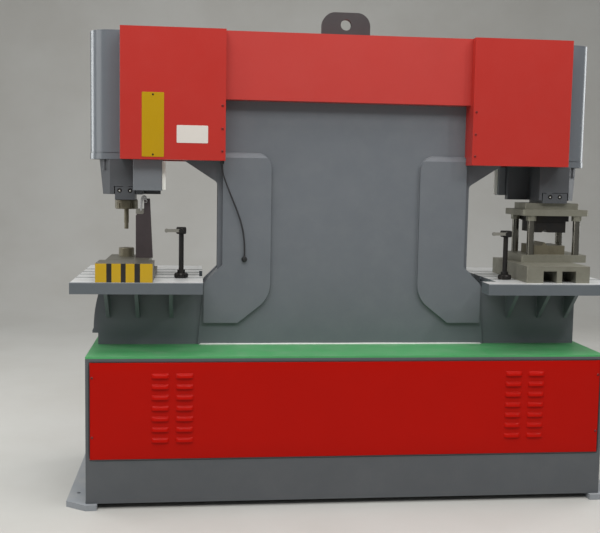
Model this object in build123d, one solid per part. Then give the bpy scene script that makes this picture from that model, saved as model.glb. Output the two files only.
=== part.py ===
from build123d import *
import os
from math import cos, hypot, pi, radians, sin, tan

# Long double-ended hydraulic ironworker, in millimetres.
# X runs along the machine, the operator stands on the -Y side and Z is up.
# The origin is on the floor, under the middle of the machine.

# Base cabinet, on two foot strips with the anchor holes
base_length = 2300.0
base_depth = 800.0
cabinet_height = 632.0
cabinet_sheet = 8.0
top_thickness = 8.0
foot_thickness = 25.0
foot_outreach = 88.0
foot_underlap = 48.0
foot_front_reach = 20.0
foot_corner_x = 63.0
foot_corner_y = 88.0
anchor_radius = 9.0
anchor_inset = 42.0
anchor_offset_y = 254.0
bearer_depth = 100.0

# Louvred panels on the front and the rear of the base
panel_end_margin = 18.0
panel_height = 423.0
panel_rise = 193.0
panel_sheet = 3.0
panel_lap = 20.0
louvre_length = 74.0
louvre_height = 20.0
louvre_reach = 9.0
louvre_bulge = 2.7
louvre_wall = 2.0
louvre_root = 0.5
louvre_rows = 7
louvre_pitch = 46.7
louvre_first_drop = 58.0
louvre_columns = (730.0, 834.0)
panel_screw_rises = (98.0, 357.0)
panel_screw_inset = 10.0

# Main frame: two plates with a web between them
plate_thickness = 35.0
plate_gap = 110.0
frame_height = 1411.0
lower_jaw_reach = 1127.0
lower_jaw_height = 268.0
throat_height = 627.0
throat_back = 588.0
throat_chamfer = 79.0
throat_slope_rise = 150.0
throat_slope_reach = 235.0
throat_round = 22.0
upper_jaw_reach = 900.0
web_thickness = 30.0
web_inset = 3.0
centre_plate_thickness = 12.0
centre_plate_edge = 560.0
centre_foot_edge = 675.0
centre_foot_top_edge = 652.0
bead_size = 6.0
frame_cover_gap = 1.0

# Doublers welded on the centre plates around the throats
doubler_thickness = 20.0
doubler_outer = 650.0
doubler_edge = 566.0
doubler_inner = 346.0
doubler_top_drop = 17.0
doubler_depth = 165.0
doubler_shoulder_rise = 17.0
doubler_slope_x = 494.0
doubler_slope_depth = 47.0
doubler_top_round = 67.0
doubler_lower_round = 132.0
doubler_bevel_height = 20.0
doubler_bevel_depth = 12.0

# Lifting lug
lug_width = 226.0
lug_thickness = 30.0
lug_height = 127.0
lug_round = 62.0
lug_hole_radius = 25.5
lug_hole_height = 71.0

# Sheet covers
cover_sheet = 3.0
cover_bend = 2.0
box_inner = 559.0
box_outer = 1018.0
box_half_depth = 218.0
box_drop = 53.0
box_flange = 88.0
beam_half_depth = 170.0
beam_depth = 300.0
cap_reach = 1167.0
cap_half_width = 100.0
cap_step = 2.0
cap_rim_height = 27.0
cap_rim_proud = 2.0
cap_seam = 3.0
cap_spigot = 12.0
cap_fit = 0.2
cover_screw_radius = 5.0
cover_screw_head = 3.0
cover_screw_inset = 14.0
cover_screw_rises = (41.0, 139.0, 240.0)

# Worktables
table_thickness = 50.0
table_half_depth = 396.0
table_outer = 1215.0
left_table_inner = 655.0
right_table_inner = 603.0
table_notch_gap = 3.0
right_notch_half = 291.0
table_chamfer = 3.0
slot_rows = (190.0, 55.0)
slot_width = 18.0
slot_depth = 15.0
slot_wide = 32.0
slot_wide_depth = 12.0
gusset_thickness = 16.0
gusset_size = 142.0
gusset_nose = 14.0
gusset_places = (796.0, 948.0, 1082.0)
slug_radius = 38.0

# Rams and their cylinders
ram_x = 1006.0
rod_radius = 45.0
piston_radius = 75.0
piston_height = 60.0
piston_chamfer = 3.0
running_clearance = 0.08
barrel_wall = 17.0
barrel_height = 390.0
gland_height = 40.0
barrel_cap = 30.0
piston_top_room = 20.0

# Ram housings under the upper jaw, measured from the ram's axis
housing_drop = 210.0
housing_inner_reach = 78.0
housing_outer_reach = 116.0
housing_taper = 17.0
housing_half_depth = 100.0
housing_chamfer = 50.0
rim_bolt_radius = 6.0
rim_bolt_length = 50.0
rim_nut_radius = 9.0
rim_nut_height = 9.0
left_ear_reach = 153.0
right_ear_reach = 178.0
ear_front = 60.0
neck_outer_reach = 56.0
neck_half_depth = 90.0
notch_height = 36.0
notch_room = 4.0

# Tool holders
holder_half_width = 44.0
holder_rear = 44.0
holder_drop = 24.0
holder_top_gap = 2.0
holder_front_inset = 1.0
holder_screw_radius = 9.0
holder_screw_length = 8.0
holder_screw_recess = 2.0
holder_screw_play = 1.5
holder_screw_spacing = 47.0
holder_screw_drop = 19.0
press_holder_half_width = 60.0
press_holder_drop = 13.0

# Punch and die of the left station
nut_radius = 52.0
nut_height = 44.0
nut_chamfer = 4.0
nut_flutes = 6
nut_flute_radius = 5.0
nut_flute_share = 0.6
punch_radius = 11.0
punch_nose_radius = 9.5
punch_nose_length = 26.0
punch_nose_taper = 4.0
punch_head_radius = 19.0
punch_head_height = 12.0
punch_rise = 87.0
punch_play = 0.3
die_radius = 35.0
die_height = 55.0
die_chamfer = 3.0
die_seat_depth = 15.0
die_seat_play = 0.1
die_bore_radius = 11.8
die_land = 12.0
die_relief_radius = 16.0
die_relief_taper = 8.0
die_hole_play = 1.0
die_block_length = 240.0
die_block_shift = 18.0
die_block_height = 80.0
die_block_rear = 95.0
die_block_front_gap = 4.0
die_block_step = 26.0
die_bolt_radius = 9.0
die_bolt_height = 12.0

# Stripper beside the punch, measured from the ram's axis, and its clamp lever
stripper_near = 48.0
stripper_far = 124.0
stripper_neck = 85.0
stripper_neck_width = 26.0
stripper_depth = 26.0
stripper_forward = 77.0
stripper_height = 269.0
stripper_knee_height = 199.0
stripper_knee_round = 10.0
stripper_crook_round = 8.0
lever_inset = 7.0
lever_drop = 10.0
lever_lean = 17.0
lever_pin_radius = 4.0
lever_hub_radius = 8.0
lever_hub_length = 14.0
lever_gap = 0.3
lever_head_radius = 6.5
lever_head_length = 3.0
lever_length = 62.0
lever_radius = 4.0
lever_ball = 6.5

# Switch boxes on the ram housings
switch_length = 128.0
switch_depth = 58.0
switch_height = 136.0
switch_top_gap = 1.0
switch_round = 4.0
left_switch_reach = 40.0
right_switch_reach = 83.0
strip_width = 15.0
strip_depth = 12.0
strip_foot = 4.0
strip_head = 8.0

# Die set of the right station
die_set_shift = 3.0
shoe_half_width = 133.0
shoe_half_depth = 79.0
shoe_thickness = 30.0
shoe_chamfer = 6.0
punch_plate_half_width = 160.0
punch_plate_half_depth = 132.0
punch_plate_thickness = 29.0
plate_chamfer = 8.0
post_radius = 17.0
post_offset_x = 112.0
post_offset_y = 105.0
post_top_gap = 6.0
post_chamfer = 3.0
bush_height = 24.0
bush_wall = 7.0
bush_room = 3.0
backing_length = 170.0
backing_depth = 200.0
backing_height = 27.0
press_punch_shift = 10.0
press_punch_length = 150.0
press_punch_depth = 180.0
press_punch_height = 53.0
press_notch_shift = 26.0
press_notch_half = 16.0
press_notch_height = 18.0
press_ridge_play = 2.0
lower_shoe_thickness = 35.0
die_insert_height = 42.0
riser_front = 340.0
riser_rear = 150.0
riser_inner = 795.0
riser_outer = 1091.0
riser_height = 75.0
riser_cap = 22.0
riser_chamfer = 3.0
riser_windows = ((872.0, 935.0), (960.0, 1025.0))

# Gauges that slide along the front slots of the tables
left_gauge_x = 751.0
right_gauge_x = 742.0
gauge_foot_radius = 31.0
gauge_foot_height = 22.0
gauge_foot_chamfer = 5.0
gauge_scallops = 8
gauge_scallop_radius = 6.0
gauge_key_play = 0.4
gauge_key_inset = 1.0
gauge_collar_radius = 17.0
gauge_collar_height = 14.0
gauge_post_radius = 11.0
gauge_post_height = 175.0
gauge_head_length = 44.0
gauge_head_depth = 34.0
gauge_head_height = 30.0
gauge_head_round = 6.0
gauge_pivot_radius = 6.0
gauge_pivot_rim = 4.0
gauge_pivot_head = 3.4
gauge_lever_length = 64.0
gauge_lever_width = 14.0
gauge_lever_tip = 2.0
gauge_lever_thickness = 8.0

# Slug chute at the left end of the frame
chute_sheet = 3.0
chute_reach = 30.0
chute_bow = 5.0
chute_lip = 12.0
chute_tail = 50.0
chute_tail_rise = 60.0
chute_height = 178.0
chute_drop = 43.0
chute_play = 0.3

# Oil tank inside the base
tank_left = -560.0
tank_length = 640.0
tank_depth = 460.0
tank_height = 300.0
tank_sheet = 4.0
tank_round = 20.0
filler_inset = 50.0
filler_radius = 38.0
filler_height = 36.0
filler_neck_radius = 25.5
filler_neck_depth = 10.0
filler_neck_play = 0.5
filler_chamfer = 8.0
glass_inset = 110.0
glass_height = 120.0
glass_half_width = 14.0
glass_end = 16.0
glass_stud_radius = 4.9
glass_stud_play = 0.1
glass_round = 8.0

# Motor lying on the tank, with its fan, coupling and pump
motor_inset = 170.0
motor_radius = 95.0
motor_body_radius = 87.0
motor_length = 260.0
motor_ring = 20.0
motor_fins = 18
motor_fin_width = 3.0
motor_fin_height = 9.0
motor_lift = 25.0
motor_foot_inner = 50.0
motor_foot_inset = 45.0
motor_foot_rise = 22.0
terminal_size = 90.0
terminal_sink = 16.0
terminal_rise = 46.0
shaft_radius = 14.0
cowl_length = 70.0
cowl_sheet = 3.0
cowl_slots = 8
cowl_slot_width = 12.0
cowl_slot_length = 34.0
cowl_slot_offset = 50.0
fan_radius = 80.0
fan_hub_radius = 30.0
fan_root = 26.0
fan_blade = 3.0
fan_inset = 16.0
fan_rear_gap = 14.0
shaft_tail_inset = 14.0
coupling_gap = 12.0
coupling_length = 60.0
coupling_radius = 34.0
bell_length = 90.0
bell_flange_radius = 90.0
bell_flange = 12.0
bell_body_radius = 72.0
bell_inner_radius = 42.0
bell_nose_radius = 56.0
bell_nose = 10.0
pump_length = 110.0
pump_radius = 48.0
pump_flange = 16.0
pump_flange_radius = 54.0
pump_spigot_radius = 19.5
pump_spigot_play = 0.5

# Valve block and pipes
manifold_length = 150.0
manifold_depth = 110.0
manifold_height = 70.0
manifold_inset = 20.0
manifold_chamfer = 3.0
valve_size = 46.0
valve_height = 62.0
valve_pitch = 74.0
valve_inset = 10.0
solenoid_radius = 20.0
solenoid_length = 40.0
pipe_radius = 8.0
pipe_bend = 40.0
pipe_pitch = 30.0
pipe_first_x = 240.0
pipe_port_rise = 35.0
pipe_cross_drop = 165.0
pipe_hole_play = 4.0

# Blank plate on the left cover box
plate_left = -924.0
plate_width = 96.0
plate_rise = 11.0
plate_height = 280.0
plate_sheet = 1.5
plate_round = 4.0
plate_screw_radius = 4.0
plate_screw_head = 2.0
plate_screw_inset = 10.0

# Cable from the left cover box down to the frame
cable_radius = 3.5
gland_radius = 9.0
gland_thread_radius = 7.0
gland_nut = 8.0
elbow_height = 24.0
elbow_axis_drop = 14.0
elbow_flange_radius = 13.0
elbow_flange = 4.0

# Levels and faces that follow from the sizes above
cabinet_top = foot_thickness + cabinet_height
frame_foot = cabinet_top + top_thickness
frame_top = frame_foot + frame_height
cover_top = frame_top + cover_sheet
panel_bottom = foot_thickness + panel_rise
panel_length = base_length - 2 * panel_end_margin
lower_jaw_top = frame_foot + lower_jaw_height
upper_jaw_bottom = lower_jaw_top + throat_height
throat_top = upper_jaw_bottom - throat_slope_rise
table_top = lower_jaw_top + table_thickness
core_inner = plate_gap / 2
core_face = core_inner + plate_thickness
centre_face = core_face + centre_plate_thickness
doubler_face = centre_face + doubler_thickness
left_notch_half = doubler_face + frame_cover_gap
base_front = base_depth / 2
base_end = base_length / 2
box_bottom = upper_jaw_bottom - box_drop
chute_half_width = core_inner - chute_play
chute_top = lower_jaw_top - chute_drop
chute_bottom = chute_top - chute_height
cap_centre = cap_reach - cap_half_width
cap_top = cover_top - cap_step
barrel_bottom = upper_jaw_bottom
barrel_top = barrel_bottom + barrel_height
barrel_radius = piston_radius + barrel_wall
piston_top = barrel_top - barrel_cap - piston_top_room
port_levels = (
    barrel_top - barrel_cap - piston_top_room / 2,
    barrel_bottom + gland_height + 1.5 * pipe_radius,
)
housing_bottom = upper_jaw_bottom - housing_drop
notch_ceiling = housing_bottom + notch_height
holder_top = notch_ceiling - holder_top_gap
holder_front = -housing_half_depth + holder_front_inset
holder_bottom = housing_bottom - holder_drop
press_holder_bottom = housing_bottom - press_holder_drop
die_block_top = table_top + die_block_height
die_top = die_block_top - die_seat_depth + die_height
punch_tip = die_top + punch_rise
die_set_x = ram_x - die_set_shift
press_x = die_set_x - press_punch_shift
punch_plate_top = press_holder_bottom - shoe_thickness
punch_plate_bottom = punch_plate_top - punch_plate_thickness
press_punch_top = punch_plate_bottom - backing_height
press_punch_bottom = press_punch_top - press_punch_height
riser_top = table_top + riser_height
lower_shoe_top = riser_top + lower_shoe_thickness
tank_floor = foot_thickness + cabinet_sheet
tank_lid = tank_floor + tank_height
motor_start = tank_left + motor_inset
motor_end = motor_start + motor_length
motor_axis_z = tank_lid + motor_lift + motor_radius
bell_end = motor_end + bell_length

# How far a cut runs past the face that it opens, and how near the rim an edge is chamfered
overcut = 1.0
rim_margin = 1.0

parts_folder = "parts"
os.makedirs(parts_folder, exist_ok=True)


def save(name, *solids):
    """Write one sub-part, given as one or more solids, to its own file."""
    pieces = [solid for piece in solids for solid in piece.solids()]
    shape = pieces[0] if len(pieces) == 1 else Compound(children=pieces)
    shape.label = name
    export_step(shape, os.path.join(parts_folder, name + ".step"))


def block(x0, x1, y0, y1, z0, z1):
    """A box between two limits along each axis."""
    size = Box(abs(x1 - x0), abs(y1 - y0), abs(z1 - z0))
    return Pos((x0 + x1) / 2, (y0 + y1) / 2, (z0 + z1) / 2) * size


def upright(x, y, z0, z1, radius):
    """A round bar standing along Z."""
    return Pos(x, y, (z0 + z1) / 2) * Cylinder(radius, abs(z1 - z0))


def bar_along_y(x, z, y0, y1, radius):
    """A round bar lying along Y."""
    return Pos(x, (y0 + y1) / 2, z) * Rot(90, 0, 0) * Cylinder(radius, abs(y1 - y0))


def bar_along_x(y, z, x0, x1, radius):
    """A round bar lying along X."""
    return Pos((x0 + x1) / 2, y, z) * Rot(0, 90, 0) * Cylinder(radius, abs(x1 - x0))


def side_profile(points):
    """A flat face in the XZ plane, from (x, z) points."""
    return make_face(Polyline(*[(x, 0, z) for x, z in points], close=True))


def plate(face, y0, y1):
    """Give a face in the XZ plane its thickness, from y0 to y1."""
    return Pos(0, y0, 0) * extrude(face, amount=y1 - y0, dir=(0, 1, 0))


def mirrored_x(shape):
    """The same piece on the other end of the machine."""
    return mirror(shape, about=Plane.YZ)


def mirrored_y(shape):
    """The same piece on the rear of the machine."""
    return mirror(shape, about=Plane.XZ)


def turned(x, y, profile):
    """A turned piece about a vertical axis, from (radius, height) points."""
    face = make_face(Polyline(*[(r, 0, z) for r, z in profile], close=True))
    return Pos(x, y, 0) * revolve(face, axis=Axis.Z)


def corner_round(face, x, z, radius):
    """Round the corner of a flat face that lies at (x, z)."""
    corner = face.vertices().sort_by(lambda v: (v.X - x) ** 2 + (v.Z - z) ** 2)[0]
    return fillet(corner, radius)


# Base

def base_cabinet():
    """The welded cabinet, with a window behind each panel and two bearers under the frame."""
    outer = block(-base_end, base_end, -base_front, base_front, foot_thickness, cabinet_top)
    inner_end = base_end - cabinet_sheet
    inner_front = base_front - cabinet_sheet
    hollow = block(-inner_end, inner_end, -inner_front, inner_front, tank_floor, cabinet_top)
    window_half = panel_length / 2 - panel_lap
    window = block(
        -window_half, window_half, -base_front - overcut, base_front + overcut,
        panel_bottom + panel_lap, panel_bottom + panel_height - panel_lap,
    )
    shell = outer - hollow - window
    for side in (-1, 1):
        shell += block(
            -inner_end, inner_end, side * core_inner, side * core_face,
            cabinet_top - bearer_depth, cabinet_top,
        )
    return shell


def base_top():
    sheet = block(-base_end, base_end, -base_front, base_front, cabinet_top, frame_foot)
    for x, y in pipe_risers():
        sheet -= upright(x, y, cabinet_top - overcut, frame_foot + overcut, pipe_radius + pipe_hole_play)
    return sheet


def foot_strip():
    inner = base_end - foot_underlap
    outer = base_end + foot_outreach
    reach = base_front + foot_front_reach
    strip = block(inner, outer, -reach, reach, 0, foot_thickness)
    corners = strip.edges().filter_by(Axis.Z).group_by(Axis.X)[-1]
    strip = chamfer(corners, foot_corner_x, foot_corner_y)
    for y in (-anchor_offset_y, anchor_offset_y):
        strip -= upright(outer - anchor_inset, y, -overcut, foot_thickness + overcut, anchor_radius)
    return strip


def louvre_hood(x, z, grow=0.0):
    """A pressed hood, open at the bottom, or the space under it when grow is negative."""
    face_y = -base_front - panel_sheet
    root = face_y + louvre_root
    lip = face_y - louvre_reach - grow
    top = z + louvre_height / 2 + grow
    bottom = z - louvre_height / 2 + grow
    chord = hypot(root - lip, top - bottom)
    crown_y = (root + lip) / 2 - louvre_bulge * (top - bottom) / chord
    crown_z = (top + bottom) / 2 + louvre_bulge * (root - lip) / chord
    arc = ThreePointArc((0, root, top), (0, crown_y, crown_z), (0, lip, bottom))
    back = Polyline((0, lip, bottom), (0, root, bottom), (0, root, top))
    half = louvre_length / 2 + grow
    return Pos(x - half, 0, 0) * extrude(make_face(arc + back), amount=2 * half, dir=(1, 0, 0))


def louvred_panel():
    sheet = block(
        -panel_length / 2, panel_length / 2, -base_front - panel_sheet, -base_front,
        panel_bottom, panel_bottom + panel_height,
    )
    slot_half = louvre_length / 2 - louvre_wall
    for side in (-1, 1):
        for column in louvre_columns:
            for row in range(louvre_rows):
                x = side * column
                z = panel_bottom + panel_height - louvre_first_drop - row * louvre_pitch
                sheet += louvre_hood(x, z)
                sheet -= louvre_hood(x, z, -louvre_wall)
                sheet -= block(
                    x - slot_half, x + slot_half, -base_front - panel_sheet - overcut, -base_front + overcut,
                    z - louvre_height / 2 - louvre_wall, z + louvre_height / 2 - 2 * louvre_wall,
                )
    return sheet


def panel_screws():
    screws = []
    front = -base_front - panel_sheet
    for side in (-1, 1):
        for rise in panel_screw_rises:
            x = side * (panel_length / 2 - panel_screw_inset)
            z = panel_bottom + rise
            screws.append(bar_along_y(x, z, front - cover_screw_head, front, cover_screw_radius))
    return screws + [mirrored_y(screw) for screw in screws]


# Frame

def frame_corners():
    """The sharp corners of the double-C outline, anticlockwise from the lower right one."""
    half = [
        (lower_jaw_reach, frame_foot),
        (lower_jaw_reach, lower_jaw_top),
        (throat_back + throat_chamfer, lower_jaw_top),
        (throat_back, lower_jaw_top + throat_chamfer),
        (throat_back, throat_top),
        (throat_back + throat_slope_reach, upper_jaw_bottom),
        (upper_jaw_reach, upper_jaw_bottom),
        (upper_jaw_reach, frame_top),
    ]
    return half + [(-x, z) for x, z in reversed(half)]


def frame_profile():
    """The outline of the frame plates, rounded in the throats."""
    face = side_profile(frame_corners())
    for side in (-1, 1):
        face = corner_round(face, side * throat_back, throat_top, throat_round)
        face = corner_round(face, side * throat_back, lower_jaw_top + throat_chamfer, throat_round)
    return face


def pipe_risers():
    """Where the pipes stand in the frame: the two to the top ports, then the two to the low ones."""
    return [(pipe_first_x + i * pipe_pitch, (0, pipe_pitch)[i // 2]) for i in range(4)]


def inset_corners(corners, depth):
    """The corners of an anticlockwise outline, each moved inwards along its mitre."""
    moved = []
    for i, (x, z) in enumerate(corners):
        before, after = corners[i - 1], corners[(i + 1) % len(corners)]
        normals = []
        for (x0, z0), (x1, z1) in ((before, (x, z)), ((x, z), after)):
            length = hypot(x1 - x0, z1 - z0)
            normals.append(((z0 - z1) / length, (x1 - x0) / length))
        (ax, az), (bx, bz) = normals
        share = depth / (1 + ax * bx + az * bz)
        moved.append((x + (ax + bx) * share, z + (az + bz) * share))
    return moved


def frame_web():
    """Mitred bars welded between the two plates, just inside their outline."""
    outer = inset_corners(frame_corners(), web_inset)
    inner = inset_corners(frame_corners(), web_inset + web_thickness)
    count = len(outer)
    bars = []
    for i in range(count):
        j = (i + 1) % count
        bars.append(plate(side_profile([outer[i], outer[j], inner[j], inner[i]]), -core_inner, core_inner))
    hole = pipe_radius + pipe_hole_play
    depth = web_inset + web_thickness + overcut
    cuts = [upright(x, y, frame_foot - overcut, frame_foot + depth, hole) for x, y in pipe_risers()]
    port_start, port_end = upper_jaw_reach - depth, upper_jaw_reach + overcut
    for side in (-1, 1):
        for y, z in zip((0, pipe_pitch), port_levels):
            cuts.append(bar_along_x(y, z, side * port_start, side * port_end, hole))
    slug_gap = block(
        -ram_x - slug_radius, -ram_x + slug_radius, -core_inner - overcut, core_inner + overcut,
        lower_jaw_top - depth, lower_jaw_top,
    )
    mouth = block(
        -lower_jaw_reach - overcut, -lower_jaw_reach + depth, -core_inner - overcut, core_inner + overcut,
        chute_bottom - chute_play, chute_top + chute_play,
    )
    for cut in cuts + [slug_gap, mouth]:
        bars = [bar - cut for bar in bars]
    return bars


def centre_plate():
    rise = centre_foot_top_edge - centre_plate_edge
    half = [
        (centre_foot_edge, frame_foot),
        (centre_foot_top_edge, lower_jaw_top),
        (centre_plate_edge, lower_jaw_top + rise),
        (centre_plate_edge, frame_top),
    ]
    face = side_profile(half + [(-x, z) for x, z in reversed(half)])
    return plate(face, -centre_face, -core_face)


def throat_doubler():
    shoulder = lower_jaw_top + doubler_shoulder_rise
    slope_z = lower_jaw_top - doubler_slope_depth
    bottom = lower_jaw_top - doubler_depth
    top = upper_jaw_bottom - doubler_top_drop
    face = side_profile([
        (doubler_outer, bottom),
        (doubler_outer, shoulder),
        (doubler_edge, shoulder + doubler_outer - doubler_edge),
        (doubler_edge, top),
        (doubler_inner, top),
        (doubler_inner, slope_z),
        (doubler_slope_x, bottom),
    ])
    face = corner_round(face, doubler_inner, top, doubler_top_round)
    face = corner_round(face, doubler_inner, slope_z, doubler_lower_round)
    body = plate(face, -doubler_face, -centre_face)
    bevel = make_face(Polyline(
        (0, -doubler_face - overcut, top - doubler_bevel_height),
        (0, -doubler_face, top - doubler_bevel_height),
        (0, -doubler_face + doubler_bevel_depth, top),
        (0, -doubler_face + doubler_bevel_depth, top + overcut),
        (0, -doubler_face - overcut, top + overcut),
        close=True,
    ))
    length = doubler_outer - doubler_inner + 2 * overcut
    return body - Pos(doubler_inner - overcut, 0, 0) * extrude(bevel, amount=length, dir=(1, 0, 0))


def foot_bead():
    """The sealant line where the frame stands on the green top."""
    face = make_face(Polyline(
        (0, -centre_face, frame_foot), (0, -centre_face - bead_size, frame_foot),
        (0, -centre_face, frame_foot + bead_size), close=True,
    ))
    return Pos(-centre_foot_edge, 0, 0) * extrude(face, amount=2 * centre_foot_edge, dir=(1, 0, 0))


def lifting_lug():
    half = lug_width / 2
    foot = frame_top - web_inset
    top = frame_top + lug_height
    face = side_profile([(-half, foot), (half, foot), (half, top), (-half, top)])
    for side in (-1, 1):
        face = corner_round(face, side * half, top, lug_round)
    lug = plate(face, -lug_thickness / 2, lug_thickness / 2)
    return lug - bar_along_y(0, frame_top + lug_hole_height, -lug_thickness, lug_thickness, lug_hole_radius)


# Covers

def cover_box():
    """The right cover box, folded round the upper jaw."""
    outer = block(box_inner, box_outer, -box_half_depth, box_half_depth, box_bottom, cover_top)
    wall_inner = box_inner + cover_sheet
    wall_outer = box_outer - cover_sheet
    wall_depth = box_half_depth - cover_sheet
    hollow = block(wall_inner, wall_outer, -wall_depth, wall_depth, box_bottom + cover_sheet, frame_top)
    flange_edge = box_half_depth - box_flange
    under = block(
        wall_inner, wall_outer, -flange_edge, flange_edge,
        box_bottom - overcut, box_bottom + cover_sheet + overcut,
    )
    wall = centre_face + frame_cover_gap
    frame_slot = block(
        box_inner - overcut, wall_inner + overcut, -wall, wall, box_bottom - overcut, frame_top,
    )
    step = doubler_face + frame_cover_gap
    doubler_slot = block(
        box_inner - overcut, doubler_edge + frame_cover_gap, -step, step,
        box_bottom - overcut, upper_jaw_bottom - doubler_top_drop + frame_cover_gap,
    )
    cap_way = cap_half_width - cover_sheet
    end_slot = block(
        wall_outer - overcut, box_outer + overcut, -cap_way, cap_way, box_bottom - overcut, frame_top,
    )
    box = outer - hollow - under - frame_slot - doubler_slot - end_slot
    corners = box.edges().filter_by(Axis.Z).filter_by(
        lambda e: abs(abs(e.center().Y) - box_half_depth) < 0.01 and abs(e.center().X - box_outer) < 0.01
    )
    return fillet(corners, cover_bend)


def left_cover_box():
    """The left box has a hole in its flange for the cable's gland."""
    x, y, z = cable_points[0]
    hole = upright(x, y, box_bottom - overcut, box_bottom + cover_sheet + overcut, gland_thread_radius)
    return mirrored_x(cover_box()) - hole


def beam_cover():
    half = beam_half_depth
    inner = half - cover_sheet
    bottom = cover_top - beam_depth
    channel = block(-box_inner, box_inner, -half, half, bottom, cover_top)
    channel -= block(-box_inner, box_inner, -inner, inner, bottom + cover_sheet, frame_top)
    channel -= block(-box_inner, box_inner, -centre_face, centre_face, bottom - overcut, frame_top)
    slot_x = lug_width / 2 + frame_cover_gap
    slot_y = lug_thickness / 2 + frame_cover_gap
    return channel - block(-slot_x, slot_x, -slot_y, slot_y, frame_top - overcut, cover_top + overcut)


def cap_outline(half_width, start):
    """Plan of an end cap: two straight sides and a half round."""
    sides = Polyline((cap_centre, half_width), (start, half_width), (start, -half_width),
                     (cap_centre, -half_width))
    nose = ThreePointArc((cap_centre, -half_width), (cap_centre + half_width, 0), (cap_centre, half_width))
    return make_face(sides + nose)


def end_cap():
    bottom = box_bottom + cap_rim_height + cap_seam
    height = cap_top - bottom
    outer = extrude(cap_outline(cap_half_width, box_outer), amount=height)
    inside = cap_outline(cap_half_width - cover_sheet, box_outer - overcut)
    inner = extrude(inside, amount=height - cover_sheet)
    return Pos(0, 0, bottom) * (outer - inner)


def cap_rim():
    """The proud rim under an end cap, with a spigot that the cap sits on."""
    height = cap_rim_height + cap_seam + cap_spigot
    spigot_half = cap_half_width - cover_sheet - cap_fit
    rim = extrude(cap_outline(cap_half_width + cap_rim_proud, box_outer), amount=cap_rim_height)
    rim += extrude(cap_outline(spigot_half, box_outer), amount=height)
    rim -= extrude(cap_outline(spigot_half - cover_sheet, box_outer - overcut), amount=height)
    return Pos(0, 0, box_bottom) * rim


def cover_screws():
    front = -box_half_depth
    x = box_inner + cover_screw_inset
    screws = [
        bar_along_y(x, box_bottom + rise, front - cover_screw_head, front, cover_screw_radius)
        for rise in cover_screw_rises
    ]
    screws += [mirrored_x(screw) for screw in screws]
    return screws + [mirrored_y(screw) for screw in screws]


# Tables

def table(inner, notch_half):
    """A table as on the right, cut back round the frame and slotted for clamps."""
    slab = block(inner, table_outer, -table_half_depth, table_half_depth, lower_jaw_top, table_top)
    notch_end = throat_back + throat_chamfer + table_notch_gap
    slab -= block(
        inner - overcut, notch_end, -notch_half, notch_half,
        lower_jaw_top - overcut, table_top + overcut,
    )
    rim = slab.edges().group_by(Axis.Z)[-1].filter_by(
        lambda e: abs(e.center().Y) > table_half_depth - rim_margin or e.center().X > table_outer - rim_margin
    )
    slab = chamfer(rim, table_chamfer)
    neck_floor = table_top - slot_depth
    for row in slot_rows:
        for y in (-row, row):
            slab -= block(
                inner - overcut, table_outer + overcut, y - slot_width / 2, y + slot_width / 2,
                neck_floor - overcut, table_top + overcut,
            )
            slab -= block(
                inner - overcut, table_outer + overcut, y - slot_wide / 2, y + slot_wide / 2,
                neck_floor - slot_wide_depth, neck_floor,
            )
    return slab


def left_table():
    """The left table has the hole that the slugs fall through."""
    slab = mirrored_x(table(left_table_inner, left_notch_half))
    return slab - upright(-ram_x, 0, lower_jaw_top - overcut, table_top + overcut, slug_radius)


def gusset(x):
    """A triangular plate under a table's overhang, with its tips cut off."""
    foot = lower_jaw_top - gusset_size
    face = make_face(Polyline(
        (0, -core_face, lower_jaw_top),
        (0, -core_face - gusset_size, lower_jaw_top),
        (0, -core_face - gusset_size, lower_jaw_top - gusset_nose),
        (0, -core_face - gusset_nose, foot),
        (0, -core_face, foot),
        close=True,
    ))
    return Pos(x - gusset_thickness / 2, 0, 0) * extrude(face, amount=gusset_thickness, dir=(1, 0, 0))


def gussets():
    front = [gusset(x) for x in gusset_places]
    right = front + [mirrored_y(piece) for piece in front]
    return right + [mirrored_x(piece) for piece in right]


# Rams, built on the right and mirrored when they are written

def cylinder():
    """The barrel with its gland, its closed top and its two ports."""
    bore = piston_radius + running_clearance
    rod = rod_radius + running_clearance
    barrel = turned(ram_x, 0, [
        (rod, barrel_bottom),
        (barrel_radius, barrel_bottom),
        (barrel_radius, barrel_top),
        (0, barrel_top),
        (0, barrel_top - barrel_cap),
        (bore, barrel_top - barrel_cap),
        (bore, barrel_bottom + gland_height),
        (rod, barrel_bottom + gland_height),
    ])
    for y, z in zip((0, pipe_pitch), port_levels):
        barrel -= bar_along_x(y, z, ram_x - barrel_radius - overcut, ram_x - rod_radius, pipe_radius)
    return barrel


def ram():
    """Piston and rod, with the rod's end on the tool holder."""
    low = piston_top - piston_height
    return turned(ram_x, 0, [
        (0, holder_top),
        (rod_radius, holder_top),
        (rod_radius, low),
        (piston_radius - piston_chamfer, low),
        (piston_radius, low + piston_chamfer),
        (piston_radius, piston_top - piston_chamfer),
        (piston_radius - piston_chamfer, piston_top),
        (0, piston_top),
    ])


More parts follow.
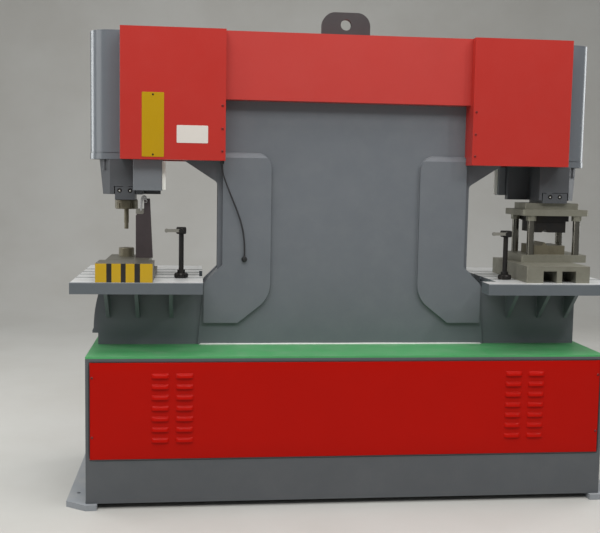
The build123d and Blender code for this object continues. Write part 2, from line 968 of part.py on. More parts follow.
def ram_housing(ear_reach, notch_half_width, notch_rear):
    """The housing that guides a ram and hangs under the upper jaw."""
    depth = housing_half_depth
    inner = ram_x - housing_inner_reach
    outer = ram_x + housing_outer_reach
    ear = ram_x - ear_reach
    plan = make_face(Polyline(
        (inner, -depth),
        (outer - housing_chamfer, -depth),
        (outer, -depth + housing_chamfer),
        (outer, depth - housing_chamfer),
        (outer - housing_chamfer, depth),
        (ear, depth),
        (ear, ear_front),
        (inner, ear_front),
        close=True,
    ))
    body = Pos(0, 0, housing_bottom) * extrude(plan, amount=box_bottom - housing_bottom)
    taper = side_profile([
        (outer, box_bottom), (outer + overcut, box_bottom), (outer + overcut, housing_bottom - overcut),
        (outer - housing_taper, housing_bottom - overcut),
    ])
    body -= plate(taper, -depth - overcut, depth + overcut)
    bolt_low = box_bottom - rim_bolt_length
    for side in (-1, 1):
        x = outer - housing_chamfer / 2
        y = side * (depth - housing_chamfer / 2)
        body += upright(x, y, bolt_low, box_bottom, rim_bolt_radius)
        body += upright(x, y, bolt_low, bolt_low + rim_nut_height, rim_nut_radius)
    body += block(
        ear, ram_x + neck_outer_reach, -neck_half_depth, neck_half_depth, box_bottom, upper_jaw_bottom
    )
    body -= block(
        ram_x - notch_half_width - notch_room, ram_x + notch_half_width + notch_room, -depth - overcut,
        notch_rear + notch_room, housing_bottom - overcut, notch_ceiling,
    )
    rod_way = rod_radius + running_clearance
    return body - upright(ram_x, 0, notch_ceiling - overcut, upper_jaw_bottom + overcut, rod_way)


def tool_holder(half_width, bottom, rear):
    """A holder block with two socket screws sunk in its front."""
    body = block(ram_x - half_width, ram_x + half_width, holder_front, rear, bottom, holder_top)
    z = holder_top - holder_screw_drop + holder_top_gap
    head = holder_front + holder_screw_recess
    floor = head + holder_screw_length
    for side in (-0.5, 0.5):
        x = ram_x + side * holder_screw_spacing
        body -= bar_along_y(x, z, holder_front - overcut, floor, holder_screw_radius + holder_screw_play)
        body += bar_along_y(x, z, head, floor, holder_screw_radius)
    return body


# Left station, built on the right and mirrored when it is written

def punch_nut():
    low = holder_bottom - nut_height
    seat = holder_bottom - punch_head_height
    shank = punch_radius + punch_play
    head = punch_head_radius + punch_play
    nut = turned(ram_x, 0, [
        (shank, low),
        (nut_radius - nut_chamfer, low),
        (nut_radius, low + nut_chamfer),
        (nut_radius, holder_bottom - nut_chamfer),
        (nut_radius - nut_chamfer, holder_bottom),
        (head, holder_bottom),
        (head, seat),
        (shank, seat),
    ])
    for i in range(nut_flutes):
        angle = 2 * pi * i / nut_flutes
        x = ram_x + nut_radius * cos(angle)
        y = nut_radius * sin(angle)
        nut -= upright(x, y, low - overcut, low + nut_height * nut_flute_share, nut_flute_radius)
    return nut


def punch():
    seat = holder_bottom - punch_head_height
    nose_end = punch_tip + punch_nose_length
    return turned(ram_x, 0, [
        (0, punch_tip),
        (punch_nose_radius, punch_tip),
        (punch_nose_radius, nose_end),
        (punch_radius, nose_end + punch_nose_taper),
        (punch_radius, seat),
        (punch_head_radius, seat),
        (punch_head_radius, holder_bottom),
        (0, holder_bottom),
    ])


def die():
    low = die_block_top - die_seat_depth
    relief = die_top - die_land
    return turned(ram_x, 0, [
        (die_relief_radius, low),
        (die_radius, low),
        (die_radius, die_top - die_chamfer),
        (die_radius - die_chamfer, die_top),
        (die_bore_radius, die_top),
        (die_bore_radius, relief),
        (die_relief_radius, relief - die_relief_taper),
    ])


def die_block():
    """The bolster that carries the die, from the table's front edge to behind the die."""
    half = die_block_length / 2
    centre = ram_x - die_block_shift
    front = -table_half_depth + die_block_front_gap
    step_top = table_top + die_block_step
    body = block(centre - half, centre + half, front, die_block_rear, table_top, die_block_top)
    step_front = -slot_rows[0] - slot_width
    for side in (-1, 1):
        edge = centre + side * half
        body -= block(
            edge - side * die_block_step, edge + side,
            step_front, die_block_rear + overcut, step_top, die_block_top + overcut,
        )
        x = centre + side * (half - die_block_step / 2)
        body += upright(x, -slot_rows[1], step_top, step_top + die_bolt_height, die_bolt_radius)
    seat_radius = die_radius + die_seat_play
    body -= upright(ram_x, 0, die_block_top - die_seat_depth, die_block_top + overcut, seat_radius)
    return body - upright(ram_x, 0, table_top - overcut, die_block_top, die_relief_radius + die_hole_play)


def lever_pivot():
    """Where the stripper's clamp lever turns, and the back of its hub: x, y and z."""
    x = ram_x - stripper_neck - lever_inset
    return x, -stripper_forward - stripper_depth / 2 - lever_gap, die_block_top + stripper_height - lever_drop


def stripper():
    """The black stripper stands on the die block beside the punch, with the pin of its lever."""
    near = ram_x - stripper_near
    far = ram_x - stripper_far
    neck = ram_x - stripper_neck
    knee = die_block_top + stripper_knee_height
    top = die_block_top + stripper_height
    face = side_profile([
        (far, die_block_top),
        (near, die_block_top),
        (near, knee),
        (neck, knee),
        (neck, top),
        (neck - stripper_neck_width, top),
    ])
    face = corner_round(face, neck, knee, stripper_crook_round)
    face = corner_round(face, near, knee, stripper_knee_round)
    body = plate(face, -stripper_forward - stripper_depth / 2, -stripper_forward + stripper_depth / 2)
    x, back, z = lever_pivot()
    pin_end = back - lever_hub_length - lever_gap
    body += bar_along_y(x, z, pin_end, back + lever_gap, lever_pin_radius)
    return body + bar_along_y(x, z, pin_end - lever_head_length, pin_end, lever_head_radius)


def stripper_lever():
    """The bright lever that hangs on the stripper's pin."""
    x, back, z = lever_pivot()
    middle = back - lever_hub_length / 2
    arm = upright(0, 0, -lever_length, 0, lever_radius)
    arm += Pos(0, 0, -lever_length) * Sphere(lever_ball)
    lever = bar_along_y(x, z, back - lever_hub_length, back, lever_hub_radius)
    lever += Pos(x, middle, z) * Rot(0, -lever_lean, 0) * arm
    return lever - bar_along_y(
        x, z, back - lever_hub_length - overcut, back + overcut, lever_pin_radius + running_clearance
    )


# Switch boxes, built in front of the right housing and mirrored when they are written

def switch_box(outer_x):
    back = -housing_half_depth
    top = box_bottom - switch_top_gap
    body = block(outer_x - switch_length, outer_x, back - switch_depth, back, top - switch_height, top)
    edges = body.edges().filter_by(Axis.Z).group_by(Axis.Y)[0]
    return fillet(edges, switch_round)


def switch_strip(outer_x):
    inner = outer_x - switch_length
    y = -housing_half_depth - switch_depth / 2
    top = box_bottom - switch_top_gap
    return block(
        inner - strip_width, inner, y - strip_depth / 2, y + strip_depth / 2,
        top - switch_height + strip_foot, top - strip_head,
    )


# Right station, from the ram's holder down

def upper_shoe():
    shoe = block(
        die_set_x - shoe_half_width, die_set_x + shoe_half_width, -shoe_half_depth, shoe_half_depth,
        punch_plate_top, press_holder_bottom,
    )
    return chamfer(shoe.edges().filter_by(Axis.Z), shoe_chamfer)


def post_places():
    return [
        (die_set_x + i * post_offset_x, j * post_offset_y) for i in (-1, 1) for j in (-1, 1)
    ]


def die_set_plate(bottom, top):
    """A plate of the die set's full size."""
    body = block(
        die_set_x - punch_plate_half_width, die_set_x + punch_plate_half_width,
        -punch_plate_half_depth, punch_plate_half_depth, bottom, top,
    )
    return chamfer(body.edges().filter_by(Axis.Z), plate_chamfer)


def punch_plate():
    """The moving plate of the die set, with bushes for its guide posts."""
    body = die_set_plate(punch_plate_bottom, punch_plate_top)
    low = punch_plate_bottom - bush_height
    for x, y in post_places():
        body += upright(x, y, low, punch_plate_bottom, post_radius + bush_wall)
        body -= upright(x, y, low - overcut, punch_plate_top + overcut, post_radius + running_clearance)
    return body


def post_room(z0, z1):
    """The space that the bushes and posts need beside the punch."""
    radius = post_radius + bush_wall + bush_room
    room = [upright(x, y, z0 - overcut, z1 + overcut, radius) for x, y in post_places()]
    return Compound(children=[piece.solids()[0] for piece in room])


def backing_plate():
    half = backing_length / 2
    return block(
        press_x - half, press_x + half, -backing_depth / 2, backing_depth / 2,
        press_punch_top, punch_plate_bottom,
    ) - post_room(press_punch_top, punch_plate_bottom)


def press_punch():
    """The punch block, with a notch that comes down over the ridge of the die insert."""
    half = press_punch_length / 2
    notch = press_x - press_notch_shift
    face = side_profile([
        (press_x - half, press_punch_top),
        (press_x + half, press_punch_top),
        (press_x + half, press_punch_bottom),
        (notch + press_notch_half, press_punch_bottom),
        (notch, press_punch_bottom + press_notch_height),
        (notch - press_notch_half, press_punch_bottom),
        (press_x - half, press_punch_bottom),
    ])
    body = plate(face, -press_punch_depth / 2, press_punch_depth / 2)
    return body - post_room(press_punch_bottom, press_punch_top)


def die_insert():
    half = press_punch_length / 2
    top = lower_shoe_top + die_insert_height
    ridge = press_x - press_notch_shift
    ridge_half = press_notch_half - press_ridge_play
    face = side_profile([
        (press_x - half, lower_shoe_top),
        (press_x + half, lower_shoe_top),
        (press_x + half, top),
        (ridge + ridge_half, top),
        (ridge, top + ridge_half * press_notch_height / press_notch_half),
        (ridge - ridge_half, top),
        (press_x - half, top),
    ])
    body = plate(face, -press_punch_depth / 2, press_punch_depth / 2)
    return body - post_room(lower_shoe_top, top + press_notch_height)


def riser():
    """The stand under the die set: a cap on three legs, with two windows between them."""
    body = block(riser_inner, riser_outer, -riser_front, riser_rear, table_top, riser_top)
    for x0, x1 in riser_windows:
        body -= block(
            x0, x1, -riser_front - overcut, riser_rear + overcut,
            table_top - overcut, riser_top - riser_cap,
        )
    edges = body.edges().filter_by(Axis.Z).filter_by(
        lambda e: abs(e.center().Y + riser_front) < 0.01 and not riser_inner < e.center().X < riser_outer
    )
    return chamfer(edges, riser_chamfer)


def guide_posts():
    posts = []
    for x, y in post_places():
        post = upright(x, y, lower_shoe_top, punch_plate_top - post_top_gap, post_radius)
        posts.append(chamfer(post.edges().group_by(Axis.Z)[-1], post_chamfer))
    return posts


# Gauges

def gauge_levels():
    """Heights of a gauge: the foot's top, the head's underside and the lever's pivot."""
    foot_top = table_top + gauge_foot_height
    head_low = foot_top + gauge_post_height
    return foot_top, head_low, head_low + gauge_head_height / 2


def gauge_body(x):
    """A scalloped foot with its key in the table's front slot, a post and a head."""
    foot_top, head_low, pivot_z = gauge_levels()
    y = -slot_rows[0]
    foot = upright(x, y, table_top, foot_top, gauge_foot_radius)
    foot = chamfer(foot.edges().filter_by(GeomType.CIRCLE), gauge_foot_chamfer)
    for i in range(gauge_scallops):
        angle = 2 * pi * (i + 0.5) / gauge_scallops
        foot -= upright(
            x + gauge_foot_radius * cos(angle), y + gauge_foot_radius * sin(angle),
            table_top - overcut, foot_top + overcut, gauge_scallop_radius,
        )
    key = slot_width / 2 - gauge_key_play
    key_length = gauge_foot_radius - gauge_foot_chamfer - gauge_key_inset
    foot += block(
        x - key_length, x + key_length, y - key, y + key, table_top - slot_depth + gauge_key_play, table_top
    )
    foot += upright(x, y, foot_top, head_low, gauge_post_radius)
    foot += upright(x, y, foot_top, foot_top + gauge_collar_height, gauge_collar_radius)
    half = gauge_head_depth / 2
    head = block(
        x - gauge_head_length / 2, x + gauge_head_length / 2, y - half, y + half,
        head_low, head_low + gauge_head_height,
    )
    foot += fillet(head.edges().filter_by(Axis.Y), gauge_head_round)
    front = y - half
    lever_front = front - gauge_lever_thickness - 2 * lever_gap
    foot += bar_along_y(x, pivot_z, lever_front, front, gauge_pivot_radius)
    return foot + bar_along_y(
        x, pivot_z, lever_front - gauge_pivot_head, lever_front, gauge_pivot_radius + gauge_pivot_rim
    )


def gauge_lever(x):
    """The flat clamp lever on the gauge's head."""
    back = -slot_rows[0] - gauge_head_depth / 2 - lever_gap
    pivot_z = gauge_levels()[2]
    eye = Circle(gauge_pivot_radius + gauge_pivot_rim)
    arm = Pos(-gauge_lever_length / 2, 0) * Rectangle(gauge_lever_length, gauge_lever_width)
    tip = Pos(-gauge_lever_length, 0) * Circle(gauge_lever_width / 2 + gauge_lever_tip)
    outline = eye + arm + tip - Circle(gauge_pivot_radius + running_clearance)
    return Pos(x, back, pivot_z) * extrude(Plane.XZ * outline, amount=gauge_lever_thickness)


# Slug chute

def slug_chute():
    """A bent channel that carries slugs from under the left die out of the frame's end."""
    top, bottom = chute_top, chute_bottom
    inside = -lower_jaw_reach + chute_tail
    wall = -lower_jaw_reach - chute_lip / 4
    outside = -lower_jaw_reach - chute_reach + chute_lip / 2
    lip_top = bottom + 2 * chute_lip
    back = Polyline((inside, 0, bottom + chute_tail_rise), (inside, 0, top), (wall, 0, top))
    bow = ThreePointArc(
        (wall, 0, top),
        ((wall + outside) / 2 - chute_bow, 0, (top + lip_top) / 2),
        (outside, 0, lip_top),
    )
    lip = Polyline(
        (outside, 0, lip_top),
        (outside - chute_lip / 2, 0, bottom + chute_lip),
        (outside - chute_lip / 2, 0, bottom),
        (wall, 0, bottom),
        (inside, 0, bottom + chute_tail_rise),
    )
    solid = plate(make_face(back + bow + lip), -chute_half_width, chute_half_width)
    inner_half = chute_half_width - chute_sheet
    floor = bottom + chute_sheet
    room = side_profile([
        (inside + overcut, floor + chute_tail_rise + chute_sheet), (inside + overcut, top + overcut),
        (outside - chute_lip, top + overcut), (outside - chute_lip, floor), (wall, floor),
    ])
    return solid - plate(room, -inner_half, inner_half)


# Power unit

def glass_x():
    return tank_left + glass_inset


def glass_ends():
    middle = tank_floor + tank_height / 2
    return middle - glass_height / 2, middle + glass_height / 2


def filler_x():
    return tank_left + filler_inset


def tank():
    x1 = tank_left + tank_length
    front = -tank_depth / 2
    outer = block(tank_left, x1, front, -front, tank_floor, tank_lid)
    outer = fillet(outer.edges().filter_by(Axis.Z), tank_round)
    inner = block(
        tank_left + tank_sheet, x1 - tank_sheet, front + tank_sheet, -front - tank_sheet,
        tank_floor + tank_sheet, tank_lid - tank_sheet,
    )
    inner = fillet(inner.edges().filter_by(Axis.Z), tank_round - tank_sheet)
    body = outer - inner
    stud_hole = glass_stud_radius + glass_stud_play
    for z in glass_ends():
        body -= bar_along_y(glass_x(), z, front - overcut, front + tank_sheet + overcut, stud_hole)
    neck = filler_neck_radius + filler_neck_play
    return body - upright(filler_x(), 0, tank_lid - tank_sheet - overcut, tank_lid + overcut, neck)


def level_gauge():
    """The sight glass on the tank's front, on two studs."""
    front = -tank_depth / 2
    low, high = glass_ends()
    x = glass_x()
    body = block(
        x - glass_half_width, x + glass_half_width, front - glass_half_width, front,
        low - glass_end, high + glass_end,
    )
    body = fillet(body.edges().filter_by(Axis.Y), glass_round)
    for z in (low, high):
        body += bar_along_y(x, z, front, front + tank_sheet, glass_stud_radius)
    return body


def filler_cap():
    top = tank_lid + filler_height
    return turned(filler_x(), 0, [
        (0, tank_lid - filler_neck_depth),
        (filler_neck_radius, tank_lid - filler_neck_depth),
        (filler_neck_radius, tank_lid),
        (filler_radius, tank_lid),
        (filler_radius, top - filler_chamfer),
        (filler_radius - filler_chamfer, top),
        (0, top),
    ])


def round_motor(piece, angle, offset):
    """Put a piece that points along Z round the motor's axis."""
    return Pos(0, 0, motor_axis_z) * Rot(angle, 0, 0) * Pos(0, 0, offset) * piece


def motor():
    """The finned motor on its two feet, with its terminal box."""
    z = motor_axis_z
    middle = (motor_start + motor_end) / 2
    body = bar_along_x(0, z, motor_start, motor_end, motor_body_radius)
    fin = Pos(middle, 0, 0) * Box(motor_length - 2 * motor_ring, motor_fin_width, motor_fin_height)
    for i in range(motor_fins):
        body += round_motor(fin, 360 * i / motor_fins, motor_radius - motor_fin_height / 2)
    for x in (motor_start, motor_end - motor_ring):
        body += bar_along_x(0, z, x, x + motor_ring, motor_radius)
    for side in (-1, 1):
        body += block(
            motor_start + motor_foot_inset, motor_end - motor_foot_inset,
            side * motor_foot_inner, side * motor_radius, tank_lid, z - motor_radius + motor_foot_rise,
        )
    body += block(
        middle - terminal_size / 2, middle + terminal_size / 2, -terminal_size / 2, terminal_size / 2,
        z + motor_radius - terminal_sink, z + motor_radius + terminal_rise,
    )
    shaft_way = shaft_radius + running_clearance
    return body - bar_along_x(0, z, motor_start - overcut, motor_end + overcut, shaft_way)


def motor_cowl():
    """The pressed cowl over the fan, with slots in its end."""
    z = motor_axis_z
    end = motor_start - cowl_length
    cowl = bar_along_x(0, z, end, motor_start, motor_radius)
    cowl -= bar_along_x(0, z, end + cowl_sheet, motor_start + overcut, motor_radius - cowl_sheet)
    slot = Pos(end, 0, 0) * Box(4 * cowl_sheet, cowl_slot_width, cowl_slot_length)
    for i in range(cowl_slots):
        cowl -= round_motor(slot, 360 * i / cowl_slots, cowl_slot_offset)
    return cowl


def motor_shaft():
    return bar_along_x(
        0, motor_axis_z,
        motor_start - cowl_length + shaft_tail_inset, motor_end + bell_length / 2, shaft_radius,
    )


def fan():
    hub_start = motor_start - cowl_length + fan_inset
    hub_end = motor_start - fan_rear_gap
    wheel = bar_along_x(0, motor_axis_z, hub_start, hub_end, fan_hub_radius)
    blade = Pos((hub_start + hub_end) / 2, 0, 0) * Box(hub_end - hub_start, fan_blade, fan_radius - fan_root)
    for i in range(cowl_slots):
        wheel += round_motor(blade, 360 * i / cowl_slots, (fan_radius + fan_root) / 2)
    return wheel - bar_along_x(0, motor_axis_z, hub_start - overcut, hub_end + overcut, shaft_radius)


def coupling():
    start = motor_end + coupling_gap
    hub = bar_along_x(0, motor_axis_z, start, start + coupling_length, coupling_radius)
    return hub - bar_along_x(0, motor_axis_z, start - overcut, motor_end + bell_length / 2, shaft_radius)


def bell_housing():
    """The bell between motor and pump, turned about the shaft."""
    z = motor_axis_z
    nose_bore = pump_spigot_radius + pump_spigot_play
    face = side_profile([
        (motor_end, z + bell_inner_radius),
        (motor_end, z + bell_flange_radius),
        (motor_end + bell_flange, z + bell_flange_radius),
        (motor_end + bell_flange, z + bell_body_radius),
        (bell_end - bell_flange, z + bell_nose_radius),
        (bell_end, z + bell_nose_radius),
        (bell_end, z + nose_bore),
        (bell_end - bell_nose, z + nose_bore),
        (bell_end - bell_nose, z + bell_inner_radius),
    ])
    return revolve(face, axis=Axis((motor_end, 0, z), (1, 0, 0)))


def pump():
    z = motor_axis_z
    body = bar_along_x(0, z, bell_end, bell_end + pump_flange, pump_flange_radius)
    body += bar_along_x(0, z, bell_end + pump_flange, bell_end + pump_length, pump_radius)
    return body + bar_along_x(0, z, bell_end - bell_nose + pump_spigot_play, bell_end, pump_spigot_radius)


def manifold_corner():
    """The valve block's near corner on the tank lid, at its pipe end: x and y."""
    return tank_left + tank_length - manifold_inset, -tank_depth / 2 + manifold_inset


def manifold():
    """The valve block on the tank lid, with two solenoid valves."""
    x1, y0 = manifold_corner()
    x0 = x1 - manifold_length
    top = tank_lid + manifold_height
    body = block(x0, x1, y0, y0 + manifold_depth, tank_lid, top)
    body = chamfer(body.edges().group_by(Axis.Z)[-1], manifold_chamfer)
    for side in (-0.5, 0.5):
        x = (x0 + x1) / 2 + side * valve_pitch
        body += block(
            x - valve_size / 2, x + valve_size / 2, y0 + valve_inset, y0 + manifold_depth - valve_inset,
            top, top + valve_height,
        )
        body += bar_along_y(
            x, top + valve_height / 2, y0 + valve_inset - solenoid_length, y0 + valve_inset, solenoid_radius
        )
    return body


def pipe(points):
    """A hydraulic pipe, bent round its corners."""
    route = FilletPolyline(*points, radius=pipe_bend)
    start = Plane(origin=route @ 0, z_dir=route % 0)
    return sweep(start * Circle(pipe_radius), path=route)


def pipes():
    """Four pipes from the valve block up through the frame: one to each port of each cylinder."""
    face_x, corner_y = manifold_corner()
    port_z = tank_lid + pipe_port_rise
    cross_z = frame_foot - pipe_cross_drop
    port_x = ram_x - barrel_radius + barrel_wall / 2
    port_step = manifold_depth / 4
    runs = []
    for i, (x, y) in enumerate(pipe_risers()):
        port_y = corner_y + (i + 0.5) * port_step
        side = (-1, 1)[i % 2]
        level = port_levels[i // 2]
        runs.append(pipe([
            (face_x, port_y, port_z), (x, port_y, port_z), (x, port_y, cross_z),
            (x, y, cross_z), (x, y, level), (side * port_x, y, level),
        ]))
    return runs


# Plate and cable

def blank_plate():
    back = -box_half_depth
    low = box_bottom + plate_rise
    body = block(plate_left, plate_left + plate_width, back - plate_sheet, back, low, low + plate_height)
    return fillet(body.edges().filter_by(Axis.Y), plate_round)


def plate_screws():
    x = plate_left + plate_width / 2
    front = -box_half_depth - plate_sheet
    low = box_bottom + plate_rise
    return [
        bar_along_y(x, z, front - plate_screw_head, front, plate_screw_radius)
        for z in (low + plate_screw_inset, low + plate_height - plate_screw_inset)
    ]


# The cable's route, chosen by hand: down from the box, along the doubler and into the frame
cable_points = [
    (-571.0, -150.0, 1493.0),
    (-571.0, -150.0, 1462.0),
    (-557.0, -146.0, 1418.0),
    (-536.0, -139.0, 1366.0),
    (-513.0, -135.0, 1312.0),
    (-491.0, -133.0, 1256.0),
    (-474.0, -133.0, 1198.0),
    (-467.0, -133.0, 1141.0),
    (-466.0, -133.0, 1099.0),
    (-466.0, -133.0, 1076.0),
]


def cable():
    """A tube of straight runs and the widest arcs that they allow."""
    points = [Vector(*p) for p in cable_points]
    radii = []
    for before, here, after in zip(points, points[1:], points[2:]):
        turn = radians((here - before).get_angle(after - here))
        run = min((here - before).length, (after - here).length)
        radii.append(0.45 * run / tan(turn / 2))
    route = FilletPolyline(*points, radius=radii)
    start = Plane(origin=route @ 0, z_dir=route % 0)
    tube = sweep(start * Circle(cable_radius), path=route)
    section_area = pi * cable_radius ** 2
    print("cable length", round(route.length, 1), "mm, radii", [round(r) for r in radii])
    print("cable volume over section times length", round(tube.volume / (section_area * route.length), 5))
    return tube


def cable_gland():
    """Screwed through the flange under the left cover box."""
    x, y, z = cable_points[0]
    body = upright(x, y, z, box_bottom, gland_radius)
    return body + upright(x, y, box_bottom, box_bottom + cover_sheet + gland_nut, gland_thread_radius)


def cable_elbow():
    """An elbow on the doubler that the cable runs into."""
    x, y, z = cable_points[-1]
    axis_z = z - elbow_axis_drop
    body = upright(x, y, z - elbow_height, z, gland_radius)
    body += bar_along_y(x, axis_z, y, -doubler_face, gland_radius)
    body += bar_along_y(x, axis_z, -doubler_face - elbow_flange, -doubler_face, elbow_flange_radius)
    reach = 2 * elbow_flange_radius
    return body - block(x - reach, x + reach, -doubler_face, 0, axis_z - reach, axis_z + reach)


def build():
    save("base_cabinet", base_cabinet())
    save("base_top", base_top())
    strip = foot_strip()
    save("foot_strips", strip, mirrored_x(strip))
    panel = louvred_panel()
    save("front_panel", panel)
    save("rear_panel", mirrored_y(panel))

    profile = frame_profile()
    save("frame_plate_front", plate(profile, -core_face, -core_inner))
    save("frame_plate_rear", plate(profile, core_inner, core_face))
    save("frame_web", *frame_web())
    centre = centre_plate()
    save("centre_plates", centre, mirrored_y(centre))
    doubler = throat_doubler()
    both = [doubler, mirrored_x(doubler)]
    save("throat_doublers", *both, *[mirrored_y(piece) for piece in both])
    bead = foot_bead()
    save("foot_bead", bead, mirrored_y(bead))
    save("lifting_lug", lifting_lug())

    save("left_cover_box", left_cover_box())
    save("right_cover_box", cover_box())
    save("beam_cover", beam_cover())
    cap = end_cap()
    rim = cap_rim()
    save("left_end_cap", mirrored_x(cap), mirrored_x(rim))
    save("right_end_cap", cap, rim)
    save("cover_screws", *cover_screws(), *panel_screws())

    save("left_table", left_table())
    save("right_table", table(right_table_inner, right_notch_half))
    save("table_gussets", *gussets())

    barrel = cylinder()
    save("left_cylinder", mirrored_x(barrel))
    save("right_cylinder", barrel)
    piston_rod = ram()
    save("left_ram", mirrored_x(piston_rod))
    save("right_ram", piston_rod)
    save("left_ram_housing", mirrored_x(ram_housing(left_ear_reach, holder_half_width, holder_rear)))
    save("right_ram_housing", ram_housing(right_ear_reach, press_holder_half_width, shoe_half_depth))
    save("left_tool_holder", mirrored_x(tool_holder(holder_half_width, holder_bottom, holder_rear)))
    save("right_tool_holder", tool_holder(press_holder_half_width, press_holder_bottom, shoe_half_depth))

    save("punch_nut", mirrored_x(punch_nut()))
    save("punch", mirrored_x(punch()))
    save("die", mirrored_x(die()))
    save("die_block", mirrored_x(die_block()))
    save("stripper", mirrored_x(stripper()))
    save("stripper_lever", mirrored_x(stripper_lever()))
    left_switch = ram_x - left_switch_reach
    right_switch = ram_x - right_switch_reach
    save(
        "switch_boxes",
        mirrored_x(switch_box(left_switch)),
        mirrored_x(switch_strip(left_switch)),
        mirrored_y(switch_box(right_switch)),
        mirrored_y(switch_strip(right_switch)),
    )

    save("upper_shoe", upper_shoe())
    save("punch_plate", punch_plate())
    save("backing_plate", backing_plate())
    save("press_punch", press_punch())
    save("guide_posts", *guide_posts())
    save("lower_shoe", die_set_plate(riser_top, lower_shoe_top))
    save("die_insert", die_insert())
    save("riser", riser())

    save("left_gauge", gauge_body(-left_gauge_x))
    save("right_gauge", gauge_body(right_gauge_x))
    save("left_gauge_lever", gauge_lever(-left_gauge_x))
    save("right_gauge_lever", gauge_lever(right_gauge_x))
    save("slug_chute", slug_chute())

    save("tank", tank())
    save("tank_fittings", level_gauge(), filler_cap())
    save("motor", motor(), motor_cowl())
    save("motor_rotor", motor_shaft(), fan(), coupling())
    save("pump_unit", bell_housing(), pump())
    save("valve_block", manifold())
    save("pipes", *pipes())

    save("blank_plate", blank_plate(), *plate_screws())
    save("cable", cable())
    save("cable_glands", cable_gland(), cable_elbow())


build()
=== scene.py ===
# %% [markdown]
# # Dressing a hydraulic ironworker
#
# The machine is a long steel frame with a punching station on its left, a pressing station on its right
# and a welded cabinet underneath. Its parts arrive as plain solids. This lesson gives them their paint,
# ground steel, chrome and rubber, and adds what is too fine for the solids: pressed louvres with round
# ends, weld beads, screw heads with their drives, cable glands and the cable itself.
#
# All sizes are metres. Where a piece has a box in the frame, its place is read from that box. What no box
# gives, such as the cable's route, the stripes and the louvres, has numbers of its own here.

import math

import bmesh
import bpy
from mathutils import Matrix, Vector, noise


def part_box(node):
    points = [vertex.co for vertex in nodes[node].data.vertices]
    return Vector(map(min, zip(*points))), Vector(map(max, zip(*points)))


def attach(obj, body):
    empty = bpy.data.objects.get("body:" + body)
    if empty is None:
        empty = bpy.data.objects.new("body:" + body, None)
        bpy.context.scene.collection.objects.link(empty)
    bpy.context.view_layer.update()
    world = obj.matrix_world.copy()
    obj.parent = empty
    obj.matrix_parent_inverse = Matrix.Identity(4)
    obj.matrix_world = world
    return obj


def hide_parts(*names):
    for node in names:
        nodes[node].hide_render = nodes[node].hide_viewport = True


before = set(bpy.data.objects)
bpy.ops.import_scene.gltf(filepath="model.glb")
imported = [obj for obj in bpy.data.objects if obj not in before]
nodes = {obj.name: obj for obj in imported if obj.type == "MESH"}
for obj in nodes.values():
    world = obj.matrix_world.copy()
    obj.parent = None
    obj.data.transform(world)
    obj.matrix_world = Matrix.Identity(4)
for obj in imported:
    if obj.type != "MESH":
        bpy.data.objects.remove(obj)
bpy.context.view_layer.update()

# %% [markdown]
# ## The camera
#
# The camera stands a little to the left of the middle, at shoulder height, and looks slightly down and to
# the right. A lens can be given as a focal length in pixels: the sensor's width in millimetres turns that
# into the number that Blender wants. The three turns are applied as a yaw, a pitch and a small roll.

# %% Camera
picture_width = 600
focal_pixels = 924.5
sensor_width = 36.0
camera_place = Vector((-0.6839, -4.3384, 1.4280))
yaw, pitch, roll = 0.1122, 0.0934, 0.0169

forward = Vector((
    math.sin(yaw) * math.cos(pitch),
    math.cos(yaw) * math.cos(pitch),
    -math.sin(pitch),
))
level_right = Vector((math.cos(yaw), -math.sin(yaw), 0.0))
level_up = level_right.cross(forward)
right = math.cos(roll) * level_right + math.sin(roll) * level_up
up = math.cos(roll) * level_up - math.sin(roll) * level_right

camera_data = bpy.data.cameras.new("camera")
camera_data.sensor_width = sensor_width
camera_data.lens = focal_pixels / picture_width * sensor_width
camera = bpy.data.objects.new("camera", camera_data)
turn = Matrix((right, up, -forward)).transposed()
camera.matrix_world = Matrix.Translation(camera_place) @ turn.to_4x4()
bpy.context.scene.collection.objects.link(camera)
bpy.context.scene.camera = camera
bpy.context.scene.view_settings.view_transform = "Standard"
print("lens:", round(camera_data.lens, 2), "mm")

# %% [markdown]
# ## The cable
#
# One thin black cable leaves the left cover box through a gland, hangs down across the frame and goes
# into an elbow on the throat doubler. A NURBS curve with the route's points as its control points gives
# the even, heavy line that a cable has, where straight runs would look like bent wire. The bevel is 1 m
# and each point's radius is the cable's own, because the curve's box is measured with those radii.

# %% Cable route and curve
cable_diameter = 0.007
cable_route = [
    (-0.571, -0.150, 1.493),
    (-0.571, -0.150, 1.462),
    (-0.557, -0.146, 1.418),
    (-0.536, -0.139, 1.366),
    (-0.513, -0.135, 1.312),
    (-0.491, -0.133, 1.256),
    (-0.474, -0.133, 1.198),
    (-0.467, -0.133, 1.141),
    (-0.466, -0.133, 1.099),
    (-0.466, -0.133, 1.076),
]


def smooth_cable(name, route, diameter):
    """A round tube on one smooth spline through the neighbourhood of the route's points."""
    data = bpy.data.curves.new(name, "CURVE")
    data.dimensions = "3D"
    data.bevel_depth = 1.0
    data.bevel_resolution = 6
    data.resolution_u = 12
    data.use_fill_caps = True
    spline = data.splines.new("NURBS")
    spline.points.add(len(route) - 1)
    for point, place in zip(spline.points, route):
        point.co = (*place, 1.0)
        point.radius = diameter / 2
    spline.order_u = 3
    spline.use_endpoint_u = True
    obj = bpy.data.objects.new(name, data)
    bpy.context.scene.collection.objects.link(obj)
    return obj


control_cable = smooth_cable("control_cable", cable_route, cable_diameter)
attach(control_cable, "machine")
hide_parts("cable")
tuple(cable_route[0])
print("cable points:", len(cable_route))

# %% [markdown]
# ## Small helpers for shader trees
#
# Every finish is a tree of shader nodes. A few helpers keep the trees readable: one adds a node, sets its
# options and connects its inputs in one call, small ones build on it for sums, noise and mixing, and one
# starts a node group with named inputs and outputs. Paint colours are noted as they look on a screen,
# from 0 to 255, so they are turned to linear light.

